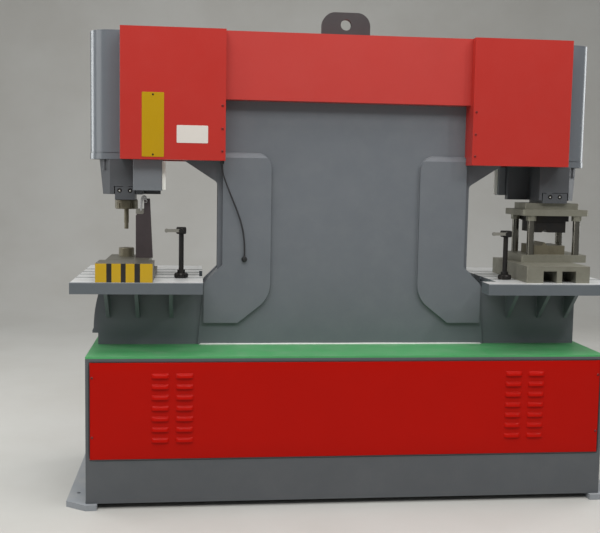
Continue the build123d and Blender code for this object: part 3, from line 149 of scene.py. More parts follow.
# %% Shader helpers
def screen_colour(red, green, blue):
    """A colour as read on a screen, in linear light, with full alpha."""
    def linear(value):
        share = value / 255
        return share / 12.92 if share <= 0.04045 else ((share + 0.055) / 1.055) ** 2.4
    return (linear(red), linear(green), linear(blue), 1.0)


def set_inputs(tree, node, inputs):
    """Set a node's inputs, each to a value or to another node's socket."""
    for key, value in inputs.items():
        if isinstance(value, bpy.types.NodeSocket):
            tree.links.new(value, node.inputs[key])
        else:
            node.inputs[key].default_value = value


def add_node(tree, kind, inputs=None, **options):
    """A shader node with its options and its inputs set."""
    node = tree.nodes.new("ShaderNode" + kind)
    for key, value in options.items():
        setattr(node, key, value)
    set_inputs(tree, node, inputs or {})
    return node


def maths(tree, operation, a, b, clamp=False):
    """One step of arithmetic; a and b are numbers or sockets."""
    return add_node(tree, "Math", {0: a, 1: b}, operation=operation, use_clamp=clamp).outputs[0]


def times(tree, a, b, clamp=False):
    """a multiplied by b."""
    return maths(tree, "MULTIPLY", a, b, clamp)


def plus(tree, a, b, clamp=False):
    """The sum of a and b."""
    return maths(tree, "ADD", a, b, clamp)


def minus(tree, a, b):
    """What is left of a without b."""
    return maths(tree, "SUBTRACT", a, b)


def mixed(tree, share, first, second):
    """Two colours mixed by a share from 0 to 1."""
    return add_node(tree, "Mix", {0: share, 6: first, 7: second}, data_type="RGBA").outputs[2]


def brightened(tree, colour, factor):
    """A colour made brighter or darker by a factor."""
    return add_node(tree, "HueSaturation", {"Value": factor, "Color": colour}).outputs["Color"]


def steps(tree, value, low, high):
    """A smooth step from 0 at low to 1 at high."""
    inputs = {"Value": value, "From Min": low, "From Max": high}
    return add_node(tree, "MapRange", inputs, interpolation_type="SMOOTHSTEP").outputs["Result"]


def place(tree):
    """Where a point of the surface is, in the machine's own metres."""
    return add_node(tree, "TexCoord").outputs["Object"]


def surface_normal(tree):
    """Which way the surface faces."""
    return add_node(tree, "NewGeometry").outputs["Normal"]


def rise(tree, vector):
    """The upright part of a place or a normal."""
    return add_node(tree, "SeparateXYZ", {0: vector}).outputs["Z"]


def noise_at(tree, point, scale, detail, roughness=0.5):
    """Cloudy noise round 0.5; a higher scale makes it finer."""
    inputs = {"Vector": point, "Scale": scale, "Detail": detail, "Roughness": roughness}
    return add_node(tree, "TexNoise", inputs).outputs[0]


def start_group(name, inputs, outputs):
    """An empty node group with named sockets, and the sockets of its two end nodes."""
    group = bpy.data.node_groups.new(name, "ShaderNodeTree")
    for label, kind, value in inputs:
        socket = group.interface.new_socket(label, in_out="INPUT", socket_type="NodeSocket" + kind)
        socket.default_value = value
    for label, kind in outputs:
        group.interface.new_socket(label, in_out="OUTPUT", socket_type="NodeSocket" + kind)
    start = group.nodes.new("NodeGroupInput")
    end = group.nodes.new("NodeGroupOutput")
    return group, start.outputs, end.inputs


def use_group(tree, group, inputs):
    """The outputs of a node group placed in a tree, with its inputs set."""
    node = tree.nodes.new("ShaderNodeGroup")
    node.node_tree = group
    set_inputs(tree, node, inputs)
    return node.outputs

# %% [markdown]
# ## Sprayed enamel
#
# The frame, the sheets and the cabinet are sprayed with thick enamel. Four things make it look real: a
# very slow drift in tone where the coat is thicker, the wide, shallow waves of the sheet below it, the fine
# dimples called orange peel, and the pale dust that settles on faces that look up. One group makes them
# all, and each paint sets its own values. The height comes out in millimetres.

# %% Group: sprayed coat
def make_sprayed_coat():
    """The group for enamel: its colour with drift and dust, its roughness and its relief."""
    tree, given, out = start_group(
        "sprayed coat",
        [
            ("Paint", "Color", (0.5, 0.5, 0.5, 1.0)),
            ("Drift", "Float", 0.06),
            ("Gloss roughness", "Float", 0.35),
            ("Peel size", "Float", 0.004),
            ("Peel depth", "Float", 0.03),
            ("Wave depth", "Float", 0.5),
            ("Dust", "Float", 0.2),
            ("Dust colour", "Color", (0.42, 0.41, 0.38, 1.0)),
        ],
        [("Colour", "Color"), ("Roughness", "Float"), ("Height", "Float")],
    )
    point = place(tree)
    drift_noise = noise_at(tree, point, scale=1.7, detail=3.0, roughness=0.55)
    pass_noise = noise_at(tree, point, scale=14.0, detail=4.0, roughness=0.6)
    both = plus(tree, drift_noise, times(tree, pass_noise, 0.4))
    drift = times(tree, minus(tree, both, 0.7), given["Drift"])
    toned = brightened(tree, given["Paint"], plus(tree, 1.0, times(tree, drift, 4.0)))

    upward = steps(tree, rise(tree, surface_normal(tree)), 0.55, 0.98)
    dust_noise = noise_at(tree, point, scale=9.0, detail=6.0, roughness=0.7)
    dust_patches = steps(tree, dust_noise, 0.35, 0.75)
    specks = steps(tree, noise_at(tree, point, scale=260.0, detail=2.0), 0.62, 0.78)
    settled = times(tree, plus(tree, dust_patches, specks), upward)
    film = times(tree, dust_patches, 0.08)
    dust = times(tree, plus(tree, settled, film), given["Dust"], clamp=True)
    tree.links.new(mixed(tree, dust, toned, given["Dust colour"]), out["Colour"])

    smear_noise = noise_at(tree, point, scale=5.0, detail=5.0, roughness=0.65)
    smear = times(tree, minus(tree, smear_noise, 0.5), 0.2)
    dulled = plus(tree, given["Gloss roughness"], times(tree, dust, 0.5))
    tree.links.new(plus(tree, dulled, smear, clamp=True), out["Roughness"])

    peel_scale = maths(tree, "DIVIDE", 1.0, given["Peel size"])
    peel = times(tree, noise_at(tree, point, peel_scale, detail=1.0), given["Peel depth"])
    wave = times(tree, noise_at(tree, point, scale=4.5, detail=1.0), given["Wave depth"])
    tree.links.new(plus(tree, peel, wave), out["Height"])
    return tree


sprayed_coat = make_sprayed_coat()
print("group:", sprayed_coat.name)

# %% [markdown]
# ## Worn edges
#
# Paint is thinnest on an edge and is knocked there first. The Bevel node looks at the surface within a
# small distance: where the smoothed normal departs from the true one there is an edge. Broken up by
# noise, that difference becomes a mask of rubbed and chipped places.

# %% Group: edge wear
def make_edge_wear():
    """The group that rubs a colour bare along the edges, and the mask of where it does."""
    tree, given, out = start_group(
        "edge wear",
        [
            ("Colour", "Color", (0.5, 0.5, 0.5, 1.0)),
            ("Bare colour", "Color", (0.3, 0.29, 0.28, 1.0)),
            ("Reach", "Float", 0.003),
            ("Amount", "Float", 0.5),
        ],
        [("Colour", "Color"), ("Mask", "Float")],
    )
    soft_normal = add_node(tree, "Bevel", {"Radius": given["Reach"]}, samples=4).outputs["Normal"]
    normals = {0: soft_normal, 1: surface_normal(tree)}
    alike = add_node(tree, "VectorMath", normals, operation="DOT_PRODUCT").outputs["Value"]
    edge = steps(tree, minus(tree, 1.0, alike), 0.02, 0.22)
    chips = noise_at(tree, place(tree), scale=95.0, detail=5.0, roughness=0.75)
    broken = steps(tree, chips, 0.48, 0.72)
    mask = times(tree, times(tree, edge, broken), given["Amount"], clamp=True)
    tree.links.new(mixed(tree, mask, given["Colour"], given["Bare colour"]), out["Colour"])
    tree.links.new(mask, out["Mask"])
    return tree


edge_wear = make_edge_wear()
print("group:", edge_wear.name)

# %% [markdown]
# ## Machined steel
#
# Bare steel shows how it was cut. A noise texture stretched hard along one direction gives the fine lines
# of grinding or turning, and a second, round noise gives the brown film that oil and fingers leave. The
# lines go into roughness and bump as well as colour, so that they catch the light.

# %% Group: machined grain
def make_machined_grain():
    """The group for bare steel: its lines and its film in colour, roughness and relief."""
    tree, given, out = start_group(
        "machined grain",
        [
            ("Metal", "Color", (0.6, 0.6, 0.6, 1.0)),
            ("Film colour", "Color", (0.2, 0.17, 0.12, 1.0)),
            ("Film", "Float", 0.3),
            ("Stretch", "Vector", (1.0, 1.0, 1.0)),
            ("Line depth", "Float", 0.25),
            ("Polish roughness", "Float", 0.3),
        ],
        [("Colour", "Color"), ("Roughness", "Float"), ("Height", "Float")],
    )
    point = place(tree)
    stretched = add_node(tree, "VectorMath", {0: point, 1: given["Stretch"]}, operation="MULTIPLY")
    lines = noise_at(tree, stretched.outputs[0], scale=1.0, detail=5.0, roughness=0.7)
    line = times(tree, minus(tree, lines, 0.5), given["Line depth"])
    cut = brightened(tree, given["Metal"], plus(tree, 1.0, times(tree, line, 1.6)))

    blots = steps(tree, noise_at(tree, point, scale=16.0, detail=7.0, roughness=0.68), 0.42, 0.7)
    film = times(tree, blots, given["Film"], clamp=True)
    tree.links.new(mixed(tree, film, cut, given["Film colour"]), out["Colour"])
    rough = plus(tree, given["Polish roughness"], times(tree, film, 0.25))
    tree.links.new(plus(tree, rough, line, clamp=True), out["Roughness"])
    tree.links.new(lines, out["Height"])
    return tree


machined_grain = make_machined_grain()
print("group:", machined_grain.name)

# %% [markdown]
# ## Paint materials
#
# One function mixes any of the machine's enamels from the two groups. The dust and the wear are less on
# thin cover sheets than on the flame-cut frame, so they are values of each paint. Two helpers do what
# every material needs: one starts it, and one gives its surface a colour, a roughness and a relief.

# %% Enamel function
millimetre = 0.001
coat_roughness = 0.1


def new_material(name):
    """A material, its tree of nodes and its Principled surface."""
    material = bpy.data.materials.new(name)
    material.use_nodes = True
    tree = material.node_tree
    return material, tree, tree.nodes["Principled BSDF"]


def dress(tree, surface, colour, roughness, height, distance, strength):
    """Give a surface its colour, its roughness and, through a bump, its relief."""
    bump = add_node(tree, "Bump", {"Height": height, "Distance": distance, "Strength": strength})
    set_inputs(tree, surface, {
        "Base Color": colour, "Roughness": roughness, "Normal": bump.outputs["Normal"],
    })


def enamel(name, colour, roughness=0.36, drift=0.045, peel=0.005, peel_depth=0.02, wave=0.4, dust=0.25,
           wear=0.0, reach=0.0015, bare=(96, 92, 88), coat=0.0, gloss=0.4):
    """A sprayed enamel; with wear above 0 its edges are rubbed and chipped."""
    material, tree, surface = new_material(name)
    sprayed = use_group(tree, sprayed_coat, {
        "Paint": screen_colour(*colour), "Drift": drift, "Gloss roughness": roughness,
        "Peel size": peel, "Peel depth": peel_depth, "Wave depth": wave, "Dust": dust,
    })
    colour_out = sprayed["Colour"]
    if wear:
        colour_out = use_group(tree, edge_wear, {
            "Colour": colour_out, "Bare colour": screen_colour(*bare), "Amount": wear, "Reach": reach,
        })["Colour"]
    dress(
        tree, surface, colour_out, sprayed["Roughness"], sprayed["Height"],
        distance=millimetre, strength=1.0,
    )
    set_inputs(tree, surface, {
        "Coat Weight": coat, "Coat Roughness": coat_roughness, "Specular IOR Level": gloss,
    })
    return material


paints = {
    "frame": enamel("frame_grey_enamel", (100, 104, 109), roughness=0.44, dust=0.5, wear=0.35),
    "cabinet": enamel("cabinet_grey_enamel", (80, 83, 86), roughness=0.42, dust=0.3, wear=0.4),
    "foot": enamel("foot_grey_enamel", (138, 142, 146), roughness=0.5, drift=0.08, dust=0.45, wear=0.6),
    "panel": enamel("panel_red_enamel", (170, 16, 7), roughness=0.36, drift=0.03, dust=0.01, coat=0.07,
                    gloss=0.04),
    "cover": enamel("cover_red_enamel", (172, 46, 39), roughness=0.34, drift=0.03, dust=0.1, coat=0.04,
                    gloss=0.2),
    "beam": enamel("beam_red_enamel", (178, 58, 52), roughness=0.36, drift=0.03, dust=0.1, coat=0.04,
                   gloss=0.25),
    "green": enamel("top_green_enamel", (72, 153, 92), roughness=0.4, drift=0.07, dust=0.16,
                    bare=(150, 160, 140), wear=0.35),
    "cap": enamel("cap_grey_enamel", (101, 106, 111), roughness=0.24, drift=0.03, dust=0.15, coat=0.3),
    "switch": enamel("switch_grey_enamel", (110, 114, 118), roughness=0.4, drift=0.03, dust=0.15),
    "housing": enamel("housing_grey_enamel", (75, 77, 80), roughness=0.42, drift=0.05, dust=0.2, wear=0.3),
    "screw": enamel("screw_red_enamel", (118, 26, 24), roughness=0.4, drift=0.03, dust=0.05),
    "lug": enamel("lug_dark_enamel", (56, 54, 55), roughness=0.5, drift=0.08, dust=0.25, wear=0.5),
    "tank": enamel("tank_grey_enamel", (92, 97, 102), roughness=0.4, dust=0.3),
    "motor": enamel("motor_blue_grey_enamel", (76, 90, 102), roughness=0.4, dust=0.3),
    "yellow": enamel("plate_yellow_enamel", (171, 135, 8), roughness=0.36, drift=0.03, dust=0.08, wave=0.2,
                     gloss=0.2),
    "pale": enamel("bare_plate_white", (206, 200, 192), roughness=0.35, drift=0.02, dust=0.15, wave=0.2),
}
print("paints:", ", ".join(sorted(paints)))

# %% [markdown]
# ## Metal materials
#
# The metals share one function too. Each has its own colour, polish, direction of lines and oil film: the
# chromed rods are almost a mirror, the die set is ground flat and oiled, the stripper is browned. An oiled
# or browned skin hides part of the metal, so those finishes are less metallic.

# %% Metal function
def metal(name, colour, roughness=0.3, metallic=1.0, film=0.3, film_colour=(60, 52, 40),
          stretch=(30.0, 900.0, 900.0), line=0.25, depth=0.00003, wear=0.0, bare=(190, 188, 182)):
    """Machined steel with grinding lines, an oil film and, if wear is given, bright rubbed edges."""
    material, tree, surface = new_material(name)
    grain = use_group(tree, machined_grain, {
        "Metal": screen_colour(*colour), "Film colour": screen_colour(*film_colour), "Film": film,
        "Stretch": stretch, "Line depth": line, "Polish roughness": roughness,
    })
    colour_out = grain["Colour"]
    if wear:
        colour_out = use_group(tree, edge_wear, {
            "Colour": colour_out, "Bare colour": screen_colour(*bare), "Amount": wear, "Reach": 0.002,
        })["Colour"]
    dress(tree, surface, colour_out, grain["Roughness"], grain["Height"], distance=depth, strength=0.5)
    surface.inputs["Metallic"].default_value = metallic
    return material


metals = {
    "chrome": metal("chromed_steel", (214, 215, 216), roughness=0.09, film=0.08, line=0.05),
    "bright": metal("bright_turned_steel", (196, 197, 196), roughness=0.24, film=0.15,
                    stretch=(60.0, 60.0, 1400.0)),
    "plated": metal("plated_steel", (168, 167, 166), roughness=0.28, metallic=0.3, film=0.1,
                    stretch=(300.0, 300.0, 300.0), line=0.12, wear=0.4, bare=(214, 213, 208)),
    "worn": metal("worn_pad_steel", (132, 130, 122), roughness=0.42, metallic=0.4, film=0.35, wear=0.7,
                  film_colour=(84, 80, 70), stretch=(900.0, 900.0, 60.0), line=0.35),
    # Nearly white and barely metallic: a painted glint on the ends of the holder studs.
    "polished": metal("stud_steel_with_painted_glint", (238, 238, 232), roughness=0.3, metallic=0.25, film=0.05,
                      stretch=(300.0, 300.0, 300.0), line=0.1),
    "oiled": metal("oiled_tool_steel", (116, 110, 92), roughness=0.4, metallic=0.55, film=0.4, wear=0.5,
                   stretch=(80.0, 80.0, 1200.0)),
    # Darker than its steel: a painted reflection of dark surroundings on the guide posts; the oil film on it
    # is its own.
    "posts": metal("post_steel_with_painted_dark_reflection", (122, 119, 110), roughness=0.2, metallic=0.9, film=0.35,
                   stretch=(60.0, 60.0, 900.0)),
    "die_set": metal("ground_die_set_steel", (132, 130, 117), roughness=0.42, metallic=0.5, film=0.25,
                     film_colour=(90, 85, 70), wear=0.4),
    "browned": metal("browned_steel", (70, 62, 63), roughness=0.45, metallic=0.4, film=0.3,
                     film_colour=(48, 43, 44), wear=0.5, bare=(132, 128, 120), stretch=(500.0, 500.0, 60.0)),
    "black": metal("blackened_steel", (44, 43, 43), roughness=0.42, film=0.3, metallic=0.75, wear=0.6,
                   bare=(120, 118, 114), stretch=(500.0, 500.0, 60.0)),
    "screw": metal("blackened_screw_steel", (52, 50, 49), roughness=0.38, film=0.2, wear=0.6,
                   stretch=(700.0, 700.0, 700.0)),
    "cast": metal("rough_cast_iron", (86, 88, 90), roughness=0.62, metallic=0.55, film=0.3,
                  stretch=(420.0, 420.0, 420.0), line=0.4, depth=0.0004),
    "aluminium": metal("milled_aluminium", (176, 178, 180), roughness=0.34, film=0.12,
                       stretch=(900.0, 30.0, 900.0)),
    "pipe": metal("drawn_pipe_steel", (150, 149, 144), roughness=0.3, film=0.25, stretch=(60.0, 60.0, 60.0)),
}
print("metals:", ", ".join(sorted(metals)))

# %% [markdown]
# ## Plastic, rubber and sealant
#
# Three soft finishes are left: the cable's rubber sheath, the moulded plastic of the glands and the tank
# fittings, and the pale sealant that was smoothed along the foot of the frame with a finger. They need no
# group: a fine noise makes the grain, and a slow one makes the mottle.

# %% Soft finishes
def moulded(name, colour, roughness, grain_size, depth, mottle=0.08):
    """A plastic or rubber with a fine surface grain and a faint mottle."""
    material, tree, surface = new_material(name)
    point = place(tree)
    fine = noise_at(tree, point, scale=1 / grain_size, detail=2.0)
    slow = noise_at(tree, point, scale=22.0, detail=4.0)
    drift = times(tree, minus(tree, slow, 0.5), mottle)
    toned = brightened(tree, screen_colour(*colour), plus(tree, 1.0, times(tree, drift, 4.0)))
    rough = plus(tree, roughness, drift, clamp=True)
    dress(tree, surface, toned, rough, fine, distance=depth, strength=0.6)
    return material


softs = {
    "rubber": moulded("cable_rubber", (34, 33, 35), 0.5, 0.0009, 0.00004),
    "plastic": moulded("moulded_black_plastic", (32, 32, 33), 0.42, 0.0012, 0.00005),
    "sealant": moulded("white_sealant", (206, 208, 202), 0.45, 0.006, 0.0006),
}
control_cable.data.materials.append(softs["rubber"])
print("soft finishes:", ", ".join(sorted(softs)))

# %% [markdown]
# ## Worktables: ground on top, painted round the edge
#
# A worktable is ground bright where the work slides and painted on its sides. The two finishes meet at
# the edge, so they are one material: the height and the direction of the surface choose between paint
# and steel, and the steel has the long lines of a surface grinder and faint stains of oil.

# %% Table material
table_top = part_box("left_table")[1].z
ground_band = 0.0035
table_paint = (88, 94, 98)
table_bare_edge = (150, 148, 142)
ground_steel = (216, 217, 216)
ground_steel_film = (158, 153, 142)
ground_metallic = 0.45


def table_finish():
    """Ground steel where the table faces up at its top, and worn paint everywhere else."""
    material, tree, surface = new_material("ground_and_painted_table")
    facing_up = steps(tree, rise(tree, surface_normal(tree)), 0.75, 0.9)
    near_top = steps(tree, rise(tree, place(tree)), table_top - ground_band, table_top - ground_band / 2)
    ground = times(tree, facing_up, near_top)

    painted = use_group(tree, sprayed_coat, {
        "Paint": screen_colour(*table_paint), "Drift": 0.05, "Gloss roughness": 0.42, "Peel size": 0.005,
        "Dust": 0.25,
    })
    worn = use_group(tree, edge_wear, {
        "Colour": painted["Colour"], "Bare colour": screen_colour(*table_bare_edge), "Amount": 0.5,
        "Reach": 0.0015,
    })
    steel = use_group(tree, machined_grain, {
        "Metal": screen_colour(*ground_steel), "Film colour": screen_colour(*ground_steel_film),
        "Film": 0.3, "Stretch": (14.0, 700.0, 700.0), "Line depth": 0.14, "Polish roughness": 0.36,
    })
    colour = mixed(tree, ground, worn["Colour"], steel["Colour"])
    rough_paint = times(tree, painted["Roughness"], minus(tree, 1.0, ground))
    rough_steel = times(tree, steel["Roughness"], ground)
    dress(
        tree, surface, colour, plus(tree, rough_paint, rough_steel), painted["Height"],
        distance=millimetre, strength=0.6,
    )
    tree.links.new(times(tree, ground, ground_metallic), surface.inputs["Metallic"])
    return material


table_steel = table_finish()
print("table top at", round(table_top, 4), "m")

# %% [markdown]
# ## The striped die block
#
# The front of the die block is painted in yellow and black warning stripes. They are upright bands of
# unequal width, so a colour ramp with constant steps holds their edges: its factor is how far along the
# block a point lies. The paint is on the front face only. The other faces are oiled bare steel.

# %% Stripe material
block_low, block_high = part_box("die_block")
stripe_edges = [-1.108, -1.062, -1.040, -1.002, -0.981, -0.944, -0.921]
stripe_colours = [(184, 148, 10), (30, 28, 27)]
stripe_bare_edge = (110, 104, 94)
block_steel = (120, 118, 108)
block_metallic = 0.8
paint_depth = 0.002


def stripes(tree, along):
    """Yellow and black bands from one end of the block to the other."""
    ramp = add_node(tree, "ValToRGB", {"Fac": along})
    ramp.color_ramp.interpolation = "CONSTANT"
    stops = ramp.color_ramp.elements
    for i, edge in enumerate(stripe_edges):
        stop = stops[i] if i < len(stops) else stops.new(1.0)
        stop.position = (edge - block_low.x) / (block_high.x - block_low.x)
        stop.color = screen_colour(*stripe_colours[i % 2])
    return ramp.outputs["Color"]


def striped_finish():
    """Striped paint on the block's front, and bare steel on its other faces."""
    material, tree, surface = new_material("striped_die_block")
    parts = add_node(tree, "SeparateXYZ", {0: place(tree)})
    along = add_node(tree, "MapRange", {
        "Value": parts.outputs["X"], "From Min": block_low.x, "From Max": block_high.x,
    }).outputs["Result"]
    sprayed = use_group(tree, sprayed_coat, {
        "Paint": stripes(tree, along), "Drift": 0.05, "Gloss roughness": 0.4, "Peel size": 0.004,
        "Dust": 0.2,
    })
    worn = use_group(tree, edge_wear, {
        "Colour": sprayed["Colour"], "Bare colour": screen_colour(*stripe_bare_edge), "Amount": 0.7,
    })
    steel = use_group(tree, machined_grain, {
        "Metal": screen_colour(*block_steel), "Film": 0.5, "Stretch": (30.0, 900.0, 900.0),
        "Polish roughness": 0.4,
    })
    forward_of_middle = times(tree, parts.outputs["Y"], -1.0)
    front = steps(tree, forward_of_middle, -block_low.y - paint_depth, -block_low.y - paint_depth / 2)
    colour = mixed(tree, front, steel["Colour"], worn["Colour"])
    dress(
        tree, surface, colour, sprayed["Roughness"], sprayed["Height"],
        distance=millimetre, strength=0.6,
    )
    bare = minus(tree, 1.0, front)
    tree.links.new(times(tree, bare, block_metallic), surface.inputs["Metallic"])
    return material


striped = striped_finish()
print("stripes:", len(stripe_edges))

# %% [markdown]
# ## A painted highlight on the switch boxes
#
# The switch boxes have a nearly white strip painted on one edge: a painted highlight where that edge catches
# the light. Box and strip belong to one node of the frame, so a box mask in metres says where the painted
# highlight lies.

# %% Painted highlight strips
def box_mask(tree, low, high, soft=0.0004):
    """1 inside a box given by two corners, 0 outside, with a soft border."""
    parts = add_node(tree, "SeparateXYZ", {0: place(tree)})
    mask = 1.0
    for axis, a, b in zip("XYZ", low, high):
        value = parts.outputs[axis]
        mask = times(tree, mask, steps(tree, value, a - soft, a))
        mask = times(tree, mask, minus(tree, 1.0, steps(tree, value, b, b + soft)))
    return mask


def second_finish(material, name, boxes, colour, roughness, metallic):
    """A copy of a material with another colour and gloss inside some boxes."""
    copy = material.copy()
    copy.name = name
    tree = copy.node_tree
    surface = tree.nodes["Principled BSDF"]
    mask = box_mask(tree, *boxes[0])
    for low, high in boxes[1:]:
        mask = maths(tree, "MAXIMUM", mask, box_mask(tree, low, high))
    keep = minus(tree, 1.0, mask)
    first_colour = surface.inputs["Base Color"].links[0].from_socket
    first_roughness = surface.inputs["Roughness"].links[0].from_socket
    first_metallic = surface.inputs["Metallic"].default_value
    set_inputs(tree, surface, {
        "Base Color": mixed(tree, mask, first_colour, screen_colour(*colour)),
        "Roughness": plus(tree, times(tree, first_roughness, keep), times(tree, mask, roughness)),
        "Metallic": plus(tree, times(tree, keep, first_metallic), times(tree, mask, metallic)),
    })
    return copy


strip_foot, strip_top = 1.373, 1.499
strip_near, strip_far = 0.122, 0.136
highlight_strip_boxes = [
    ((-0.8385, -strip_far, strip_foot), (-0.8225, -strip_near, strip_top)),
    ((0.7795, strip_near, strip_foot), (0.7955, strip_far, strip_top)),
]
# The white strip is a painted highlight of the lit edge, not a paint that the box has.
switch_paint_with_highlight = second_finish(
    paints["switch"], "switch_box_with_painted_highlight", highlight_strip_boxes,
    colour=(250, 250, 242), roughness=0.3, metallic=0.0,
)
print("bright strips:", len(highlight_strip_boxes))

# %% [markdown]
# ## Which piece gets which finish
#
# A dictionary from finish to pieces is easy to read and to change. Each frame piece has material slots of
# its own from the import, and every slot is filled with the chosen finish. Nodes that a later cell
# replaces get one as well, so that no piece is ever left plain.

# %% Assign the finishes
finish_of = {
    paints["cabinet"]: ["base_cabinet"],
    paints["foot"]: ["foot_strips"],
    paints["panel"]: ["front_panel", "rear_panel"],
    paints["green"]: ["base_top"],
    paints["frame"]: [
        "frame_plate_front", "frame_plate_rear", "frame_web", "centre_plates", "throat_doublers",
        "table_gussets", "left_cylinder", "right_cylinder", "slug_chute",
    ],
    softs["sealant"]: ["foot_bead"],
    paints["lug"]: ["lifting_lug"],
    paints["cover"]: ["left_cover_box", "right_cover_box"],
    paints["beam"]: ["beam_cover"],
    paints["cap"]: ["left_end_cap", "right_end_cap"],
    paints["screw"]: ["cover_screws"],
    table_steel: ["left_table", "right_table"],
    paints["housing"]: ["left_ram_housing", "right_ram_housing", "left_tool_holder", "right_tool_holder"],
    metals["chrome"]: ["left_ram", "right_ram"],
    metals["posts"]: ["guide_posts"],
    metals["oiled"]: ["punch_nut", "punch", "die", "die_insert"],
    striped: ["die_block"],
    metals["browned"]: ["stripper"],
    metals["plated"]: ["stripper_lever"],
    metals["worn"]: ["left_gauge_lever", "right_gauge_lever"],
    metals["bright"]: ["motor_rotor"],
    switch_paint_with_highlight: ["switch_boxes"],
    metals["die_set"]: ["upper_shoe", "punch_plate", "lower_shoe", "riser"],
    metals["black"]: ["backing_plate", "press_punch", "left_gauge", "right_gauge"],
    paints["tank"]: ["tank"],
    softs["plastic"]: ["tank_fittings", "cable_glands"],
    paints["motor"]: ["motor"],
    metals["cast"]: ["pump_unit"],
    metals["aluminium"]: ["valve_block"],
    metals["pipe"]: ["pipes"],
    paints["yellow"]: ["blank_plate"],
    softs["rubber"]: ["cable"],
}


def put_on(piece, material):
    """Fill every material slot of a piece, and give it one if it has none."""
    if not piece.data.materials:
        piece.data.materials.append(material)
    for i in range(len(piece.data.materials)):
        piece.data.materials[i] = material


for material, names in finish_of.items():
    for name in names:
        put_on(nodes[name], material)
undressed = sorted(set(nodes) - {name for names in finish_of.values() for name in names})
print("pieces without a finish:", undressed)

# %% [markdown]
# ## A builder for small turned and pressed forms
#
# Screw heads, nuts and plates are all stacks of outlines: each outline is joined to the next, and the two
# ends are closed. A drive recess is only a smaller outline of another shape further down. So one helper
# takes a list of loops of points, and short functions give the loops: round, six-sided, crossed or a
# rectangle with round corners. A profile is a table with a shape, a radius and a height in each row. Each
# stack is a closed mesh with true edges, and no boolean is needed.

# %% Loops of points
loop_steps = 48
cross_arm_half = 0.32


def round_shape(angle):
    """A circle: the same distance at every angle."""
    return 1.0


def hex_shape(angle):
    """A hexagon whose flats lie 1 from the middle."""
    return 1 / math.cos((angle + math.pi / 6) % (math.pi / 3) - math.pi / 6)


def cross_shape(angle):
    """A plus sign with arms 1 long."""
    turn_in = angle % (math.pi / 2)
    near = min(turn_in, math.pi / 2 - turn_in)
    side = cross_arm_half / math.sin(near) if near > 0.001 else 1.0
    return min(1 / math.cos(near), max(side, cross_arm_half * math.sqrt(2)))


def shape_loop(shape, radius, height):
    """Points round the Z axis at one height."""
    points = []
    for i in range(loop_steps):
        angle = 2 * math.pi * i / loop_steps
        reach = radius * shape(angle)
        points.append(Vector((reach * math.cos(angle), reach * math.sin(angle), height)))
    return points


def turned(profile, radius=1.0, height=1.0):
    """The loops of a profile, whose rows are given as shares of a radius and a height."""
    return [shape_loop(shape, radius * wide, height * high) for shape, wide, high in profile]


def rounded_loop(width, depth, corner, height, corner_steps=8):
    """A rectangle with round corners, about the Z axis at one height."""
    points = []
    for quarter in range(4):
        turn_to = math.pi / 2 * quarter
        side_x = 1 if quarter in (0, 3) else -1
        side_y = 1 if quarter in (0, 1) else -1
        centre = Vector((side_x * (width / 2 - corner), side_y * (depth / 2 - corner), height))
        for i in range(corner_steps + 1):
            angle = turn_to + math.pi / 2 * i / corner_steps
            points.append(centre + Vector((corner * math.cos(angle), corner * math.sin(angle), 0.0)))
    return points


def skin(mesh, rows):
    """Join rows of vertices, each of them a closed ring, and close the two ends."""
    for lower, upper in zip(rows, rows[1:]):
        for i in range(len(lower)):
            j = (i + 1) % len(lower)
            mesh.faces.new((lower[i], lower[j], upper[j], upper[i]))
    mesh.faces.new(list(reversed(rows[0])))
    mesh.faces.new(rows[-1])


def stack(mesh, loops, matrix):
    """Join loops, from the foot up, into one closed form."""
    skin(mesh, [[mesh.verts.new(matrix @ point) for point in loop] for loop in loops])


def facing(place_at, direction):
    """The matrix that stands a stack on a point, with its top towards a direction."""
    turn_up = Vector(direction).to_track_quat("Z", "Y").to_matrix().to_4x4()
    return Matrix.Translation(place_at) @ turn_up


def new_piece(name, mesh, material, body, sharp_degrees=35):
    """Turn a mesh under construction into a piece that rides on a body."""
    data = bpy.data.meshes.new(name)
    mesh.to_mesh(data)
    mesh.free()
    data.shade_smooth()
    data.set_sharp_from_angle(angle=math.radians(sharp_degrees))
    data.materials.append(material)
    piece = bpy.data.objects.new(name, data)
    bpy.context.scene.collection.objects.link(piece)
    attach(piece, body)
    return piece


print("points in a loop:", loop_steps)

# %% [markdown]
# ## Screw heads on the covers and panels
#
# The sheet covers and the louvred panels are held by pan-head screws with a crossed recess, and they were
# sprayed over with the sheets. In the solids they are plain discs. Here each is a stack of nine loops: a
# low dome, then the cross going down into it. Each stops at a turn of its own, as screws do. All of them
# are one mesh, because they share a finish and never move apart.

# %% Cover and panel screws
cover_low, cover_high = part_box("right_cover_box")
panel_low, panel_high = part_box("front_panel")
cover_screw_inset = 0.014
panel_screw_inset = 0.010
cover_screw_heights = [0.041, 0.139, 0.240]
panel_screw_heights = [0.098, 0.357]
cover_face = cover_high.y
panel_face = 0.403
turn_between_screws = 0.7
cover_head_size = (0.0056, 0.0030)
pan_head = [
    (round_shape, 0.99, 0.0),
    (round_shape, 1.00, 0.15),
    (round_shape, 0.97, 0.42),
    (round_shape, 0.87, 0.72),
    (round_shape, 0.70, 0.93),
    (round_shape, 0.60, 1.0),
    (cross_shape, 0.56, 1.0),
    (cross_shape, 0.46, 0.35),
    (round_shape, 0.12, 0.20),
]

